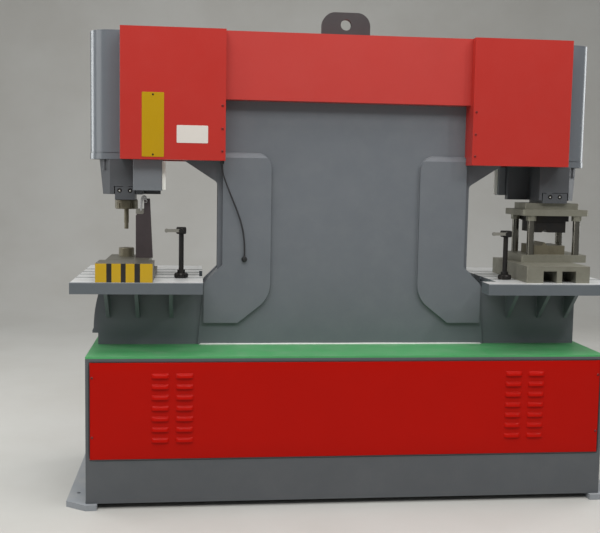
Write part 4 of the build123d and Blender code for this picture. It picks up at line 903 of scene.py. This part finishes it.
screw_places = []
for face_side in (-1, 1):
    for end_side in (-1, 1):
        for up_from_foot in cover_screw_heights:
            x = end_side * (cover_low.x + cover_screw_inset)
            screw_places.append(((x, face_side * cover_face, cover_low.z + up_from_foot), face_side))
        for up_from_foot in panel_screw_heights:
            x = end_side * (panel_high.x - panel_screw_inset)
            screw_places.append(((x, face_side * panel_face, panel_low.z + up_from_foot), face_side))
screw_mesh = bmesh.new()
for i, (spot, face_side) in enumerate(screw_places):
    own_turn = Matrix.Rotation(turn_between_screws * i, 4, "Z")
    stack(screw_mesh, turned(pan_head, *cover_head_size), facing(spot, (0, face_side, 0)) @ own_turn)
cover_screw_heads = new_piece("cover_screw_heads", screw_mesh, paints["screw"], "machine")
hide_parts("cover_screws")
print("screw heads:", len(screw_places))

# %% [markdown]
# ## The bare plates on the left cover
#
# Two thin plates sit on the left cover: a tall yellow one held by two screws, and a low pale one that is
# stuck on. Both are left without any words or signs. Their corners are round and their edges slightly
# broken, as on a plate from a guillotine and a file.

# %% Yellow plate and pale plate
box_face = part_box("left_cover_box")[0].y
yellow_low, yellow_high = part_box("blank_plate")
yellow_sheet = 0.0015
pale_low = (-0.773, 1.581)
pale_high = (-0.636, 1.658)
pale_sheet = 0.0010
plate_screw_inset = 0.010
plate_head_size = (0.0042, 0.0020)


def thin_plate(mesh, low, high, thickness, corner, rim):
    """A plate on the left cover with round corners and a chamfered rim; low and high are x and z."""
    width, height = high[0] - low[0], high[1] - low[1]
    middle = ((low[0] + high[0]) / 2, box_face, (low[1] + high[1]) / 2)
    upright_turn = Matrix.Rotation(math.pi / 2, 4, "X")
    loops = [
        rounded_loop(width, height, corner, 0.0),
        rounded_loop(width, height, corner, thickness - rim),
        rounded_loop(width - 2 * rim, height - 2 * rim, corner - rim, thickness),
    ]
    stack(mesh, loops, Matrix.Translation(middle) @ upright_turn)


yellow_mesh = bmesh.new()
thin_plate(
    yellow_mesh, (yellow_low.x, yellow_low.z), (yellow_high.x, yellow_high.z),
    yellow_sheet, corner=0.003, rim=0.0004,
)
yellow_plate = new_piece("yellow_plate", yellow_mesh, paints["yellow"], "machine")
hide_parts("blank_plate")

plate_screw_mesh = bmesh.new()
for z in (yellow_low.z + plate_screw_inset, yellow_high.z - plate_screw_inset):
    spot = ((yellow_low.x + yellow_high.x) / 2, box_face - yellow_sheet, z)
    stack(plate_screw_mesh, turned(pan_head, *plate_head_size), facing(spot, (0, -1, 0)))
new_piece("plate_screws", plate_screw_mesh, metals["screw"], "machine")

pale_mesh = bmesh.new()
thin_plate(pale_mesh, pale_low, pale_high, pale_sheet, corner=0.004, rim=0.0003)
pale_plate = new_piece("pale_plate", pale_mesh, paints["pale"], "machine")
print("plates:", yellow_plate.name, pale_plate.name)

# %% [markdown]
# ## Clamp screws in the tool holders
#
# Two studs with round nuts clamp the tool in each holder. The nut is blackened and has a chamfered rim, and
# the stud's end with its six-sided socket shows in the middle, nearly white: a painted glint of bright
# steel.
# They sit in counterbores and ride on the rams, so each side has pieces of its own.

# %% Holder screws
nut_radius = 0.0092
nut_proud = 0.0026
stud_radius = 0.0034
stud_beyond_nut = 0.0012
screw_face_inset = 0.002
screw_drop = 0.018
screw_spacing = 0.047
round_nut = [
    (round_shape, 1.0, 0.0),
    (round_shape, 1.0, 0.72),
    (round_shape, 0.92, 1.0),
    (round_shape, 0.66, 1.0),
    (round_shape, 0.56, 0.7),
    (round_shape, 0.1, 0.66),
]
stud_end = [
    (round_shape, 1.0, 0.0),
    (round_shape, 1.0, 0.84),
    (round_shape, 0.84, 1.0),
    (hex_shape, 0.48, 1.0),
    (hex_shape, 0.46, 0.45),
    (round_shape, 0.1, 0.4),
]


def holder_screws(side_name, body):
    """The nuts and the studs of one tool holder, as two pieces."""
    low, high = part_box(side_name + "_tool_holder")
    middle = (low.x + high.x) / 2
    nuts = bmesh.new()
    studs = bmesh.new()
    for side in (-0.5, 0.5):
        spot = (middle + side * screw_spacing, low.y + screw_face_inset, high.z - screw_drop)
        stack(nuts, turned(round_nut, nut_radius, nut_proud), facing(spot, (0, -1, 0)))
        stack(studs, turned(stud_end, stud_radius, nut_proud + stud_beyond_nut), facing(spot, (0, -1, 0)))
    return [
        new_piece(side_name + "_holder_nuts", nuts, metals["screw"], body),
        new_piece(side_name + "_holder_studs", studs, metals["polished"], body),
    ]


holder_pieces = holder_screws("left", "left_ram") + holder_screws("right", "right_ram")
print("holder screws:", ", ".join(piece.name for piece in holder_pieces))

# %% [markdown]
# ## The stripper's lever
#
# The lever that clamps the stripper is a plated forging: a round hub on the pin, a cranked arm that thickens
# at its bend, and a rounded end that hangs down. It is a stack of rounded sections, each turned to stand
# square on the arm's path, and its hub is a stack of rings.

# %% Stripper lever
lever_low, lever_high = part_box("stripper_lever")
lever_axis = Vector((-0.914, lever_low.y, 1.322))
lever_thickness = lever_high.y - lever_low.y
hub_radius = 0.0088
hub_rim = 0.0010
arm_bend = [
    (0.0, 0.0), (0.004, 0.022), (-0.010, 0.028), (-0.022, 0.014), (-0.0195, -0.018), (-0.0195, -0.047),
]
arm_widths = [0.009, 0.012, 0.026, 0.004, 0.010, 0.012]
arm_steps = 28
arm_depth_share = 0.72
arm_corner_share = 0.42
tip_length_share = 0.14
tip_least_width = 0.12
tip_least_depth = 0.2
look_ahead = 0.01


def bezier(points, share):
    """A point on the Bezier curve of some points."""
    row = [Vector(point) for point in points]
    while len(row) > 1:
        row = [a.lerp(b, share) for a, b in zip(row, row[1:])]
    return row[0]


def lever_arm(mesh):
    """The arm, as sections that follow its bend and close to a round tip."""
    loops = []
    for i in range(arm_steps + 1):
        share = i / arm_steps
        at = bezier(arm_bend, share)
        before = bezier(arm_bend, max(0.0, share - look_ahead))
        after = bezier(arm_bend, min(1.0, share + look_ahead))
        ahead = (after - before).normalized()
        across = Vector((-ahead.y, 0.0, ahead.x))
        into_tip = max(0.0, (share - (1 - tip_length_share)) / tip_length_share)
        rounding = math.sqrt(max(0.0, 1 - into_tip ** 2))
        width = bezier([(value, 0.0) for value in arm_widths], share).x * max(tip_least_width, rounding)
        depth = lever_thickness * arm_depth_share * max(tip_least_depth, rounding)
        middle = Vector((at.x, lever_thickness / 2, at.y))
        section = rounded_loop(width, depth, min(width, depth) * arm_corner_share, 0.0, corner_steps=6)
        loops.append([middle + across * point.x + Vector((0.0, point.y, 0.0)) for point in section])
    stack(mesh, loops, Matrix.Translation(lever_axis))


lever_mesh = bmesh.new()
lever_arm(lever_mesh)
stack(lever_mesh, turned([
    (round_shape, hub_radius - hub_rim, 0.0),
    (round_shape, hub_radius, hub_rim),
    (round_shape, hub_radius, lever_thickness - hub_rim),
    (round_shape, hub_radius - hub_rim, lever_thickness),
]), facing(lever_axis, (0, 1, 0)))
bmesh.ops.recalc_face_normals(lever_mesh, faces=lever_mesh.faces)
clamp_lever = new_piece(
    "clamp_lever", lever_mesh, metals["plated"], "stripper_lever", sharp_degrees=50
)
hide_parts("stripper_lever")
print("lever thickness:", round(lever_thickness, 4), "m")

# %% [markdown]
# ## The pad on the stripper's knee
#
# A ground pad stands on the knee of the stripper and takes the knocks of the sheet. Its edges are broken,
# and one screw with a six-sided socket holds it.

# %% Knee pad
stripper_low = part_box("stripper")[0]
knee_top = 1.262
pad_height = 0.024
pad_inner = -0.9215
pad_back = -0.064
pad_front = -0.090
pad_rim = 0.0015
pad_screw_size = (0.0048, 0.0012)
pad_width = pad_inner - stripper_low.x
pad_depth = pad_back - pad_front
pad_foot = ((pad_inner + stripper_low.x) / 2, (pad_back + pad_front) / 2, knee_top)
pad_mesh = bmesh.new()
stack(pad_mesh, [
    rounded_loop(pad_width - pad_rim, pad_depth - pad_rim, 0.0025, 0.0),
    rounded_loop(pad_width, pad_depth, 0.0030, pad_rim),
    rounded_loop(pad_width, pad_depth, 0.0030, pad_height - pad_rim),
    rounded_loop(pad_width - 2 * pad_rim, pad_depth - 2 * pad_rim, 0.0020, pad_height),
], Matrix.Translation(pad_foot))
pad_screw_spot = (pad_foot[0], pad_front, knee_top + pad_height / 2)
stack(pad_mesh, turned(stud_end, *pad_screw_size), facing(pad_screw_spot, (0, -1, 0)))
new_piece("knee_pad", pad_mesh, metals["worn"], "machine")
print("pad:", round(pad_width, 4), "by", round(pad_height, 4), "m")

# %% [markdown]
# ## The cable's two glands
#
# The cable leaves the box through a gland: a six-sided body, a domed nut and a rubber lip that grips the
# sheath. It enters the frame through an elbow: the same nut on a round-ended body, with a flange against
# the doubler. Both are black plastic, so they are one piece that replaces the plain solids.

# %% Glands
cable_top = Vector(cable_route[0])
cable_end = Vector(cable_route[-1])
box_floor = cover_low.z
doubler_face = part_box("throat_doublers")[0].y
gland_drop = box_floor - cable_top.z
inner_nut_foot = 0.0021
inner_nut_rise = 0.0095
nut_rim = 0.0006
elbow_drop = 0.024
elbow_axis_drop = 0.014
flange_reach = doubler_face - cable_end.y

gland_body = [
    (hex_shape, 0.0074, 0.0),
    (hex_shape, 0.0079, nut_rim),
    (hex_shape, 0.0079, 0.0060),
    (round_shape, 0.0078, 0.0066),
    (round_shape, 0.0086, 0.0072),
    (round_shape, 0.0084, gland_drop * 0.75),
    (round_shape, 0.0070, gland_drop * 0.93),
    (round_shape, 0.0050, gland_drop),
    (round_shape, 0.0046, gland_drop + 0.0018),
    (round_shape, 0.0038, gland_drop + 0.0022),
]
inner_nut = [
    (hex_shape, 0.0072, inner_nut_foot),
    (hex_shape, 0.0078, inner_nut_foot + nut_rim),
    (hex_shape, 0.0078, inner_nut_rise - nut_rim),
    (hex_shape, 0.0072, inner_nut_rise),
]
elbow_body = [
    (round_shape, 0.0030, 0.0),
    (round_shape, 0.0062, 0.0012),
    (round_shape, 0.0080, 0.0038),
    (round_shape, 0.0087, 0.0070),
    (round_shape, 0.0087, elbow_drop - 0.0100),
    (hex_shape, 0.0079, elbow_drop - 0.0094),
    (hex_shape, 0.0079, elbow_drop - 0.0030),
    (round_shape, 0.0072, elbow_drop - 0.0016),
    (round_shape, 0.0050, elbow_drop),
    (round_shape, 0.0046, elbow_drop + 0.0016),
    (round_shape, 0.0038, elbow_drop + 0.0020),
]
elbow_flange = [
    (round_shape, 0.0130, 0.0),
    (round_shape, 0.0130, 0.0032),
    (round_shape, 0.0122, 0.0040),
    (round_shape, 0.0092, 0.0042),
    (round_shape, 0.0086, 0.0050),
    (round_shape, 0.0084, flange_reach),
    (round_shape, 0.0060, flange_reach + 0.0060),
]

at_box_floor = Matrix.Translation((cable_top.x, cable_top.y, box_floor))
gland_mesh = bmesh.new()
stack(gland_mesh, turned(gland_body), at_box_floor @ Matrix.Rotation(math.pi, 4, "X"))
stack(gland_mesh, turned(inner_nut), at_box_floor)
stack(gland_mesh, turned(elbow_body), Matrix.Translation(cable_end - Vector((0.0, 0.0, elbow_drop))))
flange_at = (cable_end.x, doubler_face, cable_end.z - elbow_axis_drop)
stack(gland_mesh, turned(elbow_flange), facing(flange_at, (0, -1, 0)))
cable_gland_pair = new_piece("cable_gland_pair", gland_mesh, softs["plastic"], "machine")
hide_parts("cable_glands")
print("gland drop:", round(gland_drop, 4), "m")

# %% [markdown]
# ## Louvred panels
#
# Each long panel has four columns of pressed louvres. A louvre is cut along its lower edge only, and the
# sheet above it is stretched outwards, so its ends are round and its mouth opens downwards. First come the
# sizes: where the columns and rows of louvres stand, and how far the sheet swells.

# %% Panel sizes
louvre_half_length = 0.037
louvre_half_height = 0.010
louvre_reach = 0.009
louvre_columns = [-0.834, -0.730, 0.730, 0.834]
louvre_rows = 7
louvre_pitch = 0.0467
louvre_first_drop = 0.058
louvre_cells_along = 22
louvre_cells_down = 8
louvre_swell_power = 2.2
louvre_end_power = 5
sheet_thickness = 0.0015
edge_roll = 0.0042
edge_rings = 5
crease_margin = 0.01
same_place = 1e-6
print("louvres in a panel:", len(louvre_columns) * louvre_rows)

# %% [markdown]
# The panel is built as a flat sheet with a grid of cells: a plain cell is one face, and a louvre cell is a
# patch of small faces that bulges. A flat sheet with louvres cut in by booleans would leave ragged edges at
# the mouths. The outer edge is rolled back to the cabinet in a few rings. The sheet then gets its thickness
# in one step, at the mouths as well, and the creases round the louvres are marked sharp.

# %% Panel mesh
flat_enough = 0.9999


def spread(low, high, count):
    """Values from low to high that stand closer together near both ends."""
    return [low + (high - low) * (1 - math.cos(math.pi * i / count)) / 2 for i in range(count + 1)]


def crisp_creases(piece, low, high):
    """Mark the creases round the louvres sharp, so that the sheet between them shades flat."""
    mesh = bmesh.new()
    mesh.from_mesh(piece.data)
    for edge in mesh.edges:
        middle = (edge.verts[0].co + edge.verts[1].co) / 2
        inside = all(low[i] + crease_margin < middle[i] < high[i] - crease_margin for i in (0, 2))
        flat_sides = sum(abs(face.normal.y) > flat_enough for face in edge.link_faces)
        if inside and flat_sides == 1:
            edge.smooth = False
    mesh.to_mesh(piece.data)
    mesh.free()


def louvre_patch(mesh, vertex, x0, x1, z0, z1, side):
    """Small faces in one cell of the sheet, stretched outwards above the mouth."""
    patch = []
    for k in range(louvre_cells_down + 1):
        z = z1 - (z1 - z0) * k / louvre_cells_down
        swell = 1 - (1 - (z1 - z) / (z1 - z0)) ** louvre_swell_power
        row = []
        for x in spread(x0, x1, louvre_cells_along):
            off_middle = abs(2 * (x - x0) / (x1 - x0) - 1)
            end_fall = math.sqrt(max(0.0, 1 - off_middle ** louvre_end_power))
            row.append(vertex(x, side * (panel_face + louvre_reach * swell * end_fall), z))
        patch.append(row)
    for upper, lower in zip(patch, patch[1:]):
        for k in range(louvre_cells_along):
            mesh.faces.new((upper[k], upper[k + 1], lower[k + 1], lower[k]))


def plain_face(mesh, flat, x0, x1, z0, z1):
    """One face for a plain cell, through every flat vertex that lies on its border."""
    near = [
        v for v in flat
        if x0 - same_place < v.co.x < x1 + same_place and z0 - same_place < v.co.z < z1 + same_place
    ]
    edges = [
        sorted((v for v in near if abs(v.co.z - z0) < same_place), key=lambda v: v.co.x),
        sorted((v for v in near if abs(v.co.x - x1) < same_place), key=lambda v: v.co.z),
        sorted((v for v in near if abs(v.co.z - z1) < same_place), key=lambda v: -v.co.x),
        sorted((v for v in near if abs(v.co.x - x0) < same_place), key=lambda v: -v.co.z),
    ]
    mesh.faces.new([v for edge in edges for v in edge[:-1]])


def rolled_edge(mesh, vertex, xs, zs, side):
    """Rings of faces that roll the sheet's border back to the cabinet in a quarter circle."""
    border = [(x, zs[0]) for x in xs] + [(xs[-1], z) for z in zs[1:]]
    border += [(x, zs[-1]) for x in reversed(xs[:-1])] + [(xs[0], z) for z in reversed(zs[1:-1])]
    inner = [vertex(x, side * panel_face, z) for x, z in border]
    for ring in range(1, edge_rings + 1):
        angle = math.pi / 2 * ring / edge_rings
        out, back = edge_roll * math.sin(angle), edge_roll * (1 - math.cos(angle))
        outer = []
        for x, z in border:
            push_x = out * ((x == xs[-1]) - (x == xs[0]))
            push_z = out * ((z == zs[-1]) - (z == zs[0]))
            outer.append(mesh.verts.new((x + push_x, side * (panel_face - back), z + push_z)))
        for m in range(len(border)):
            n = (m + 1) % len(border)
            mesh.faces.new((inner[m], inner[n], outer[n], outer[m]))
        inner = outer


def louvred_sheet(name, node, side):
    """A panel on the front (side -1) or the rear (side 1), bulging away from the cabinet."""
    low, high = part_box(node)
    rows = [high.z - louvre_first_drop - i * louvre_pitch for i in range(louvre_rows)]
    xs = [x + end * louvre_half_length for x in louvre_columns for end in (-1, 1)]
    xs = [low.x + edge_roll] + xs + [high.x - edge_roll]
    zs = [z + end * louvre_half_height for z in rows for end in (-1, 1)]
    zs = sorted([low.z + edge_roll, high.z - edge_roll] + zs)
    mesh = bmesh.new()
    known = {}

    def vertex(x, y, z):
        key = (round(x, 5), round(y, 5), round(z, 5))
        if key not in known:
            known[key] = mesh.verts.new((x, y, z))
        return known[key]

    plain_cells = []
    for i, (x0, x1) in enumerate(zip(xs, xs[1:])):
        for j, (z0, z1) in enumerate(zip(zs, zs[1:])):
            if i % 2 and j % 2:
                louvre_patch(mesh, vertex, x0, x1, z0, z1, side)
                continue
            plain_cells.append((x0, x1, z0, z1))
            for x in (x0, x1):
                for z in (z0, z1):
                    vertex(x, side * panel_face, z)
    flat = [v for v in known.values() if abs(v.co.y - side * panel_face) < same_place]
    for cell in plain_cells:
        plain_face(mesh, flat, *cell)
    rolled_edge(mesh, vertex, xs, zs, side)

    bmesh.ops.recalc_face_normals(mesh, faces=mesh.faces)
    if (mesh.faces[0].normal.y > 0) != (side > 0):
        bmesh.ops.reverse_faces(mesh, faces=mesh.faces)
    bmesh.ops.solidify(mesh, geom=mesh.faces, thickness=sheet_thickness)
    sheet = new_piece(name, mesh, paints["panel"], "machine", sharp_degrees=50)
    crisp_creases(sheet, low, high)
    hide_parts(node)
    return sheet


sheets = {"front_louvred_sheet": ("front_panel", -1), "rear_louvred_sheet": ("rear_panel", 1)}
for sheet_name, (node, side) in sheets.items():
    sheet = louvred_sheet(sheet_name, node, side)
    print(sheet_name, "faces:", len(sheet.data.polygons))

# %% [markdown]
# ## Weld beads
#
# The doublers, the centre plates and the gussets are welded on, and a weld shows as a thin rippled bead in
# the corner. The beads follow the outlines of the real pieces: where a flat face of a node ends, its edges
# belong to one face of that level only. Those edges are read from the mesh, the hidden ones are dropped,
# and the rest are chained into lines.

# %% Reading outlines
level_slack = 2e-5


def level_edges(node, axis, level):
    """The edges of a node that belong to one face only of those that lie at a level."""
    data = nodes[node].data
    count = {}
    for face in data.polygons:
        corners = [data.vertices[i].co for i in face.vertices]
        if any(abs(corner[axis] - level) > level_slack for corner in corners):
            continue
        keys = [tuple(round(value, 5) for value in corner) for corner in corners]
        for a, b in zip(keys, keys[1:] + keys[:1]):
            pair = frozenset((a, b))
            count[pair] = count.get(pair, 0) + 1
    return [sorted(pair) for pair, uses in count.items() if uses == 1 and len(pair) == 2]


def outline_runs(node, axis, level, keep):
    """Lines of points where a node's faces at one level end; keep says which edges stay."""
    links = {}
    for a, b in level_edges(node, axis, level):
        if keep((Vector(a) + Vector(b)) / 2):
            links.setdefault(a, set()).add(b)
            links.setdefault(b, set()).add(a)
    runs = []
    starts = sorted(links, key=lambda key: (len(links[key]) != 1, key))
    for start in starts:
        while links[start]:
            run = [start]
            while links[run[-1]]:
                here = run[-1]
                onward = min(links[here])
                links[here].remove(onward)
                links[onward].remove(here)
                run.append(onward)
            runs.append([Vector(point) for point in run])
    return runs


gusset_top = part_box("table_gussets")[1].z
print("edges round the gussets' tops:", len(level_edges("table_gussets", 2, gusset_top)))

# %% [markdown]
# A bead is a small tube laid in the corner, half sunk. Its rings stand at even steps along the line, and its
# radius swings a little with every drop of metal. The same helper makes the beads of rubber and sealant,
# with the swing off or long and soft.

# %% Making a bead
end_bead_share = 0.35
bead_noise_scale = 90


def spaced(points, gap):
    """Points at an even distance along a line."""
    out = [points[0]]
    left = gap
    for a, b in zip(points, points[1:]):
        length = (b - a).length
        done = 0.0
        while length - done >= left:
            done += left
            out.append(a.lerp(b, done / length))
            left = gap
        left -= length - done
    if (out[-1] - points[-1]).length > gap / 3:
        out.append(points[-1])
    return out


def lay_bead(mesh, points, normal, size, gap=0.004, pitch=0.0065, ripple=0.12, sides=8):
    """A rippled bead along a line that lies in the plane with the given normal."""
    line = spaced(points, gap)
    if len(line) < 3:
        return 0
    normal = Vector(normal)
    rows = []
    for i, point in enumerate(line):
        ahead = line[min(i + 1, len(line) - 1)] - line[max(i - 1, 0)]
        across = ahead.normalized().cross(normal)
        swing = math.sin(2 * math.pi * i * gap / pitch) + noise.noise(point * bead_noise_scale)
        end_share = end_bead_share if i in (0, len(line) - 1) else 1.0
        radius = size * (1 + ripple * swing) * end_share
        row = []
        for k in range(sides):
            angle = 2 * math.pi * k / sides
            offset = normal * (radius * math.cos(angle)) + across * (radius * math.sin(angle))
            row.append(mesh.verts.new(point + offset))
        rows.append(row)
    skin(mesh, rows)
    return (len(line) - 1) * gap


print("points on a 0.1 m bead:", len(spaced([Vector((0.0, 0.0, 0.0)), Vector((0.1, 0.0, 0.0))], 0.004)))

# %% [markdown]
# The doublers lie on the centre plates, the centre plates on the frame plates and the gussets between the
# frame and the tables, so each outline is read at the level where its piece meets the next. The cabinet
# gets a bead along the foot of its two ends.

# %% Laying the beads
core_face = 0.090
centre_face = 0.102
plate_low, plate_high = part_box("frame_plate_front")
cabinet_low, cabinet_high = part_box("base_cabinet")
throat_edge = 0.5655
outline_margin = 0.001
foot_weld_margin = 0.01
weld_size = 0.0042


def off_the_throat(middle):
    """True for the edges of a doubler that stop short of the throat's edge."""
    return abs(middle.x) < throat_edge


def between_the_ends(middle):
    """True for the edges of a centre plate below its top and above its foot."""
    return plate_low.z + outline_margin < middle.z < plate_high.z - outline_margin


def everywhere(middle):
    """True for every edge."""
    return True


weld_mesh = bmesh.new()
welded = 0.0
for face_side in (-1, 1):
    runs = outline_runs("throat_doublers", 1, face_side * centre_face, off_the_throat)
    runs += outline_runs("centre_plates", 1, face_side * core_face, between_the_ends)
    runs += outline_runs("table_gussets", 1, face_side * core_face, everywhere)
    for run in runs:
        welded += lay_bead(weld_mesh, run, (0, 1, 0), weld_size)
for run in outline_runs("table_gussets", 2, gusset_top, everywhere):
    welded += lay_bead(weld_mesh, run, (0, 0, 1), weld_size)
for end_side in (-1, 1):
    foot_line = [
        Vector((end_side * cabinet_high.x, y, cabinet_low.z))
        for y in (cabinet_low.y + foot_weld_margin, cabinet_high.y - foot_weld_margin)
    ]
    welded += lay_bead(weld_mesh, foot_line, (0, 0, 1), weld_size)
weld_beads = new_piece("weld_beads", weld_mesh, paints["frame"], "machine", sharp_degrees=70)
print("welds:", round(welded, 2), "m, faces:", len(weld_beads.data.polygons))

# %% [markdown]
# ## Painted shadow lines round the panels
#
# A thin bead of black rubber runs just outside the edge of each louvred panel, as a painted shadow of the
# gap between the sheet and the cabinet, and it shows as a dark line round the sheet. It is four smooth
# beads.

# %% Panel shadow beads
# Black beads that stand for the shadow in the gap round each panel: painted shadow, not a seal.
shadow_bead_radius = 0.0032
shadow_bead_outset = 0.0022
cabinet_face = 0.4002
shadow_left, shadow_right = panel_low.x - shadow_bead_outset, panel_high.x + shadow_bead_outset
shadow_foot, shadow_top = panel_low.z - shadow_bead_outset, panel_high.z + shadow_bead_outset
shadow_bead_mesh = bmesh.new()
for face_side in (-1, 1):
    corners = [
        Vector((x, face_side * cabinet_face, z)) for x, z in (
            (shadow_left, shadow_foot), (shadow_right, shadow_foot), (shadow_right, shadow_top), (shadow_left, shadow_top),
        )
    ]
    for a, b in zip(corners, corners[1:] + corners[:1]):
        lay_bead(shadow_bead_mesh, [a, b], (0, 1, 0), shadow_bead_radius, gap=0.03, ripple=0.0)
panel_shadow_beads = new_piece(
    "panel_shadow_beads", shadow_bead_mesh, softs["rubber"], "machine", sharp_degrees=70
)
print("seal faces:", len(panel_shadow_beads.data.polygons))

# %% [markdown]
# ## The sealant line
#
# A pale bead of sealant closes the joint where the frame stands on the green top. It is pressed out of a
# tube and smoothed by hand, so it is the same kind of bead with a longer, softer swing.

# %% Sealant
sealant_low, sealant_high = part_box("foot_bead")
sealant_radius = 0.0058
sealant_swing_length = 0.37
sealant_mesh = bmesh.new()
for face_side in (-1, 1):
    ends = [
        Vector((x, face_side * centre_face, sealant_low.z))
        for x in (sealant_low.x + sealant_radius, sealant_high.x - sealant_radius)
    ]
    lay_bead(
        sealant_mesh, ends, (0, 0, 1), sealant_radius,
        gap=0.010, pitch=sealant_swing_length, ripple=0.07, sides=12,
    )
sealant_line = new_piece(
    "sealant_line", sealant_mesh, softs["sealant"], "machine", sharp_degrees=70
)
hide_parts("foot_bead")
print("sealant:", round(sealant_high.x - sealant_low.x, 2), "m on each side")

# %% [markdown]
# ## Floor and backdrop
#
# The stage is a plain pale floor that curves up into a backdrop. The sheet shows from its front only: a
# camera that stands behind the machine, and so behind the wall, looks through its back.

# %% Stage
floor_half = 14.0
wall_y = 7.0
wall_height = 9.0
bend_radius = 2.5
bend_steps = 16
floor_tones = [(180, 178, 172), (188, 187, 182)]


def studio_sweep():
    """One sheet: flat floor, a quarter-round bend and an upright wall."""
    profile = [(-floor_half, 0.0)]
    for i in range(bend_steps + 1):
        angle = math.pi / 2 * i / bend_steps
        profile.append((
            wall_y - bend_radius + bend_radius * math.sin(angle),
            bend_radius - bend_radius * math.cos(angle),
        ))
    profile.append((wall_y, wall_height))
    mesh = bpy.data.meshes.new("studio_floor")
    points = [(x, y, z) for y, z in profile for x in (-floor_half, floor_half)]
    faces = [(2 * i, 2 * i + 1, 2 * i + 3, 2 * i + 2) for i in range(len(profile) - 1)]
    mesh.from_pydata(points, [], faces)
    mesh.shade_smooth()
    sweep = bpy.data.objects.new("studio_floor", mesh)
    bpy.context.scene.collection.objects.link(sweep)
    return sweep


def floor_finish():
    """Pale, faintly clouded paint that lets a camera behind it look through."""
    material, tree, surface = new_material("pale_floor")
    clouds = steps(tree, noise_at(tree, place(tree), scale=0.8, detail=6.0, roughness=0.6), 0.3, 0.7)
    seen_from_behind = add_node(tree, "NewGeometry").outputs["Backfacing"]
    set_inputs(tree, surface, {
        "Base Color": mixed(tree, clouds, *[screen_colour(*tone) for tone in floor_tones]),
        "Alpha": minus(tree, 1.0, seen_from_behind),
        "Roughness": 0.6,
    })
    return material


studio_floor = studio_sweep()
studio_floor.data.materials.append(floor_finish())
print("stage:", 2 * floor_half, "m wide")

# %% [markdown]
# ## Light
#
# Soft lamps stand well away from the machine, so their shadows have wide edges, and one small, high one adds
# a little sparkle on the louvres and the metal. An even, pale air fills the shadows. The level is set so
# that a painted colour renders about as it is written.

# %% Lamps and air
white = (1.0, 1.0, 1.0)
cool_white = (0.95, 0.98, 1.0)
air_colour = (214, 217, 220)
air_strength = 0.37
lamps = [
    # name, place, the point that it faces, size, watts and colour
    ("roof_light", (0.0, -0.4, 5.4), (0.0, -0.4, 0.0), (7.0, 4.0), 290.0, white),
    ("front_light", (-0.8, -5.0, 5.8), (0.0, 0.0, 0.9), (7.0, 2.5), 258.0, white),
    ("left_light", (-5.0, 2.4, 2.4), (-1.0, 0.0, 1.5), (2.0, 3.0), 70.0, cool_white),
    ("right_light", (5.0, 2.4, 2.4), (1.0, 0.0, 1.5), (2.0, 3.0), 50.0, cool_white),
    ("side_fill", (-5.2, -1.4, 1.9), (-0.6, 0.0, 1.3), (2.5, 2.5), 42.0, white),
    ("high_window", (3.4, -4.2, 4.6), (-0.2, 0.0, 0.8), (0.45, 0.45), 42.0, white),
]
for name, place_at, faces_at, size, watts, colour in lamps:
    data = bpy.data.lights.new(name, "AREA")
    data.shape = "RECTANGLE"
    data.size, data.size_y = size
    data.energy = watts
    data.color = colour
    lamp = bpy.data.objects.new(name, data)
    aim = (Vector(faces_at) - Vector(place_at)).to_track_quat("-Z", "Y")
    lamp.matrix_world = Matrix.Translation(place_at) @ aim.to_matrix().to_4x4()
    bpy.context.scene.collection.objects.link(lamp)

world = bpy.data.worlds.new("studio_air")
world.use_nodes = True
air = world.node_tree.nodes["Background"]
air.inputs["Color"].default_value = screen_colour(*air_colour)
air.inputs["Strength"].default_value = air_strength
bpy.context.scene.world = world
print("lamps:", len(lamps))

# %% [markdown]
# ## Finish
#
# The last step brings the view layer up to date.

# %% The last line
bpy.context.view_layer.update()
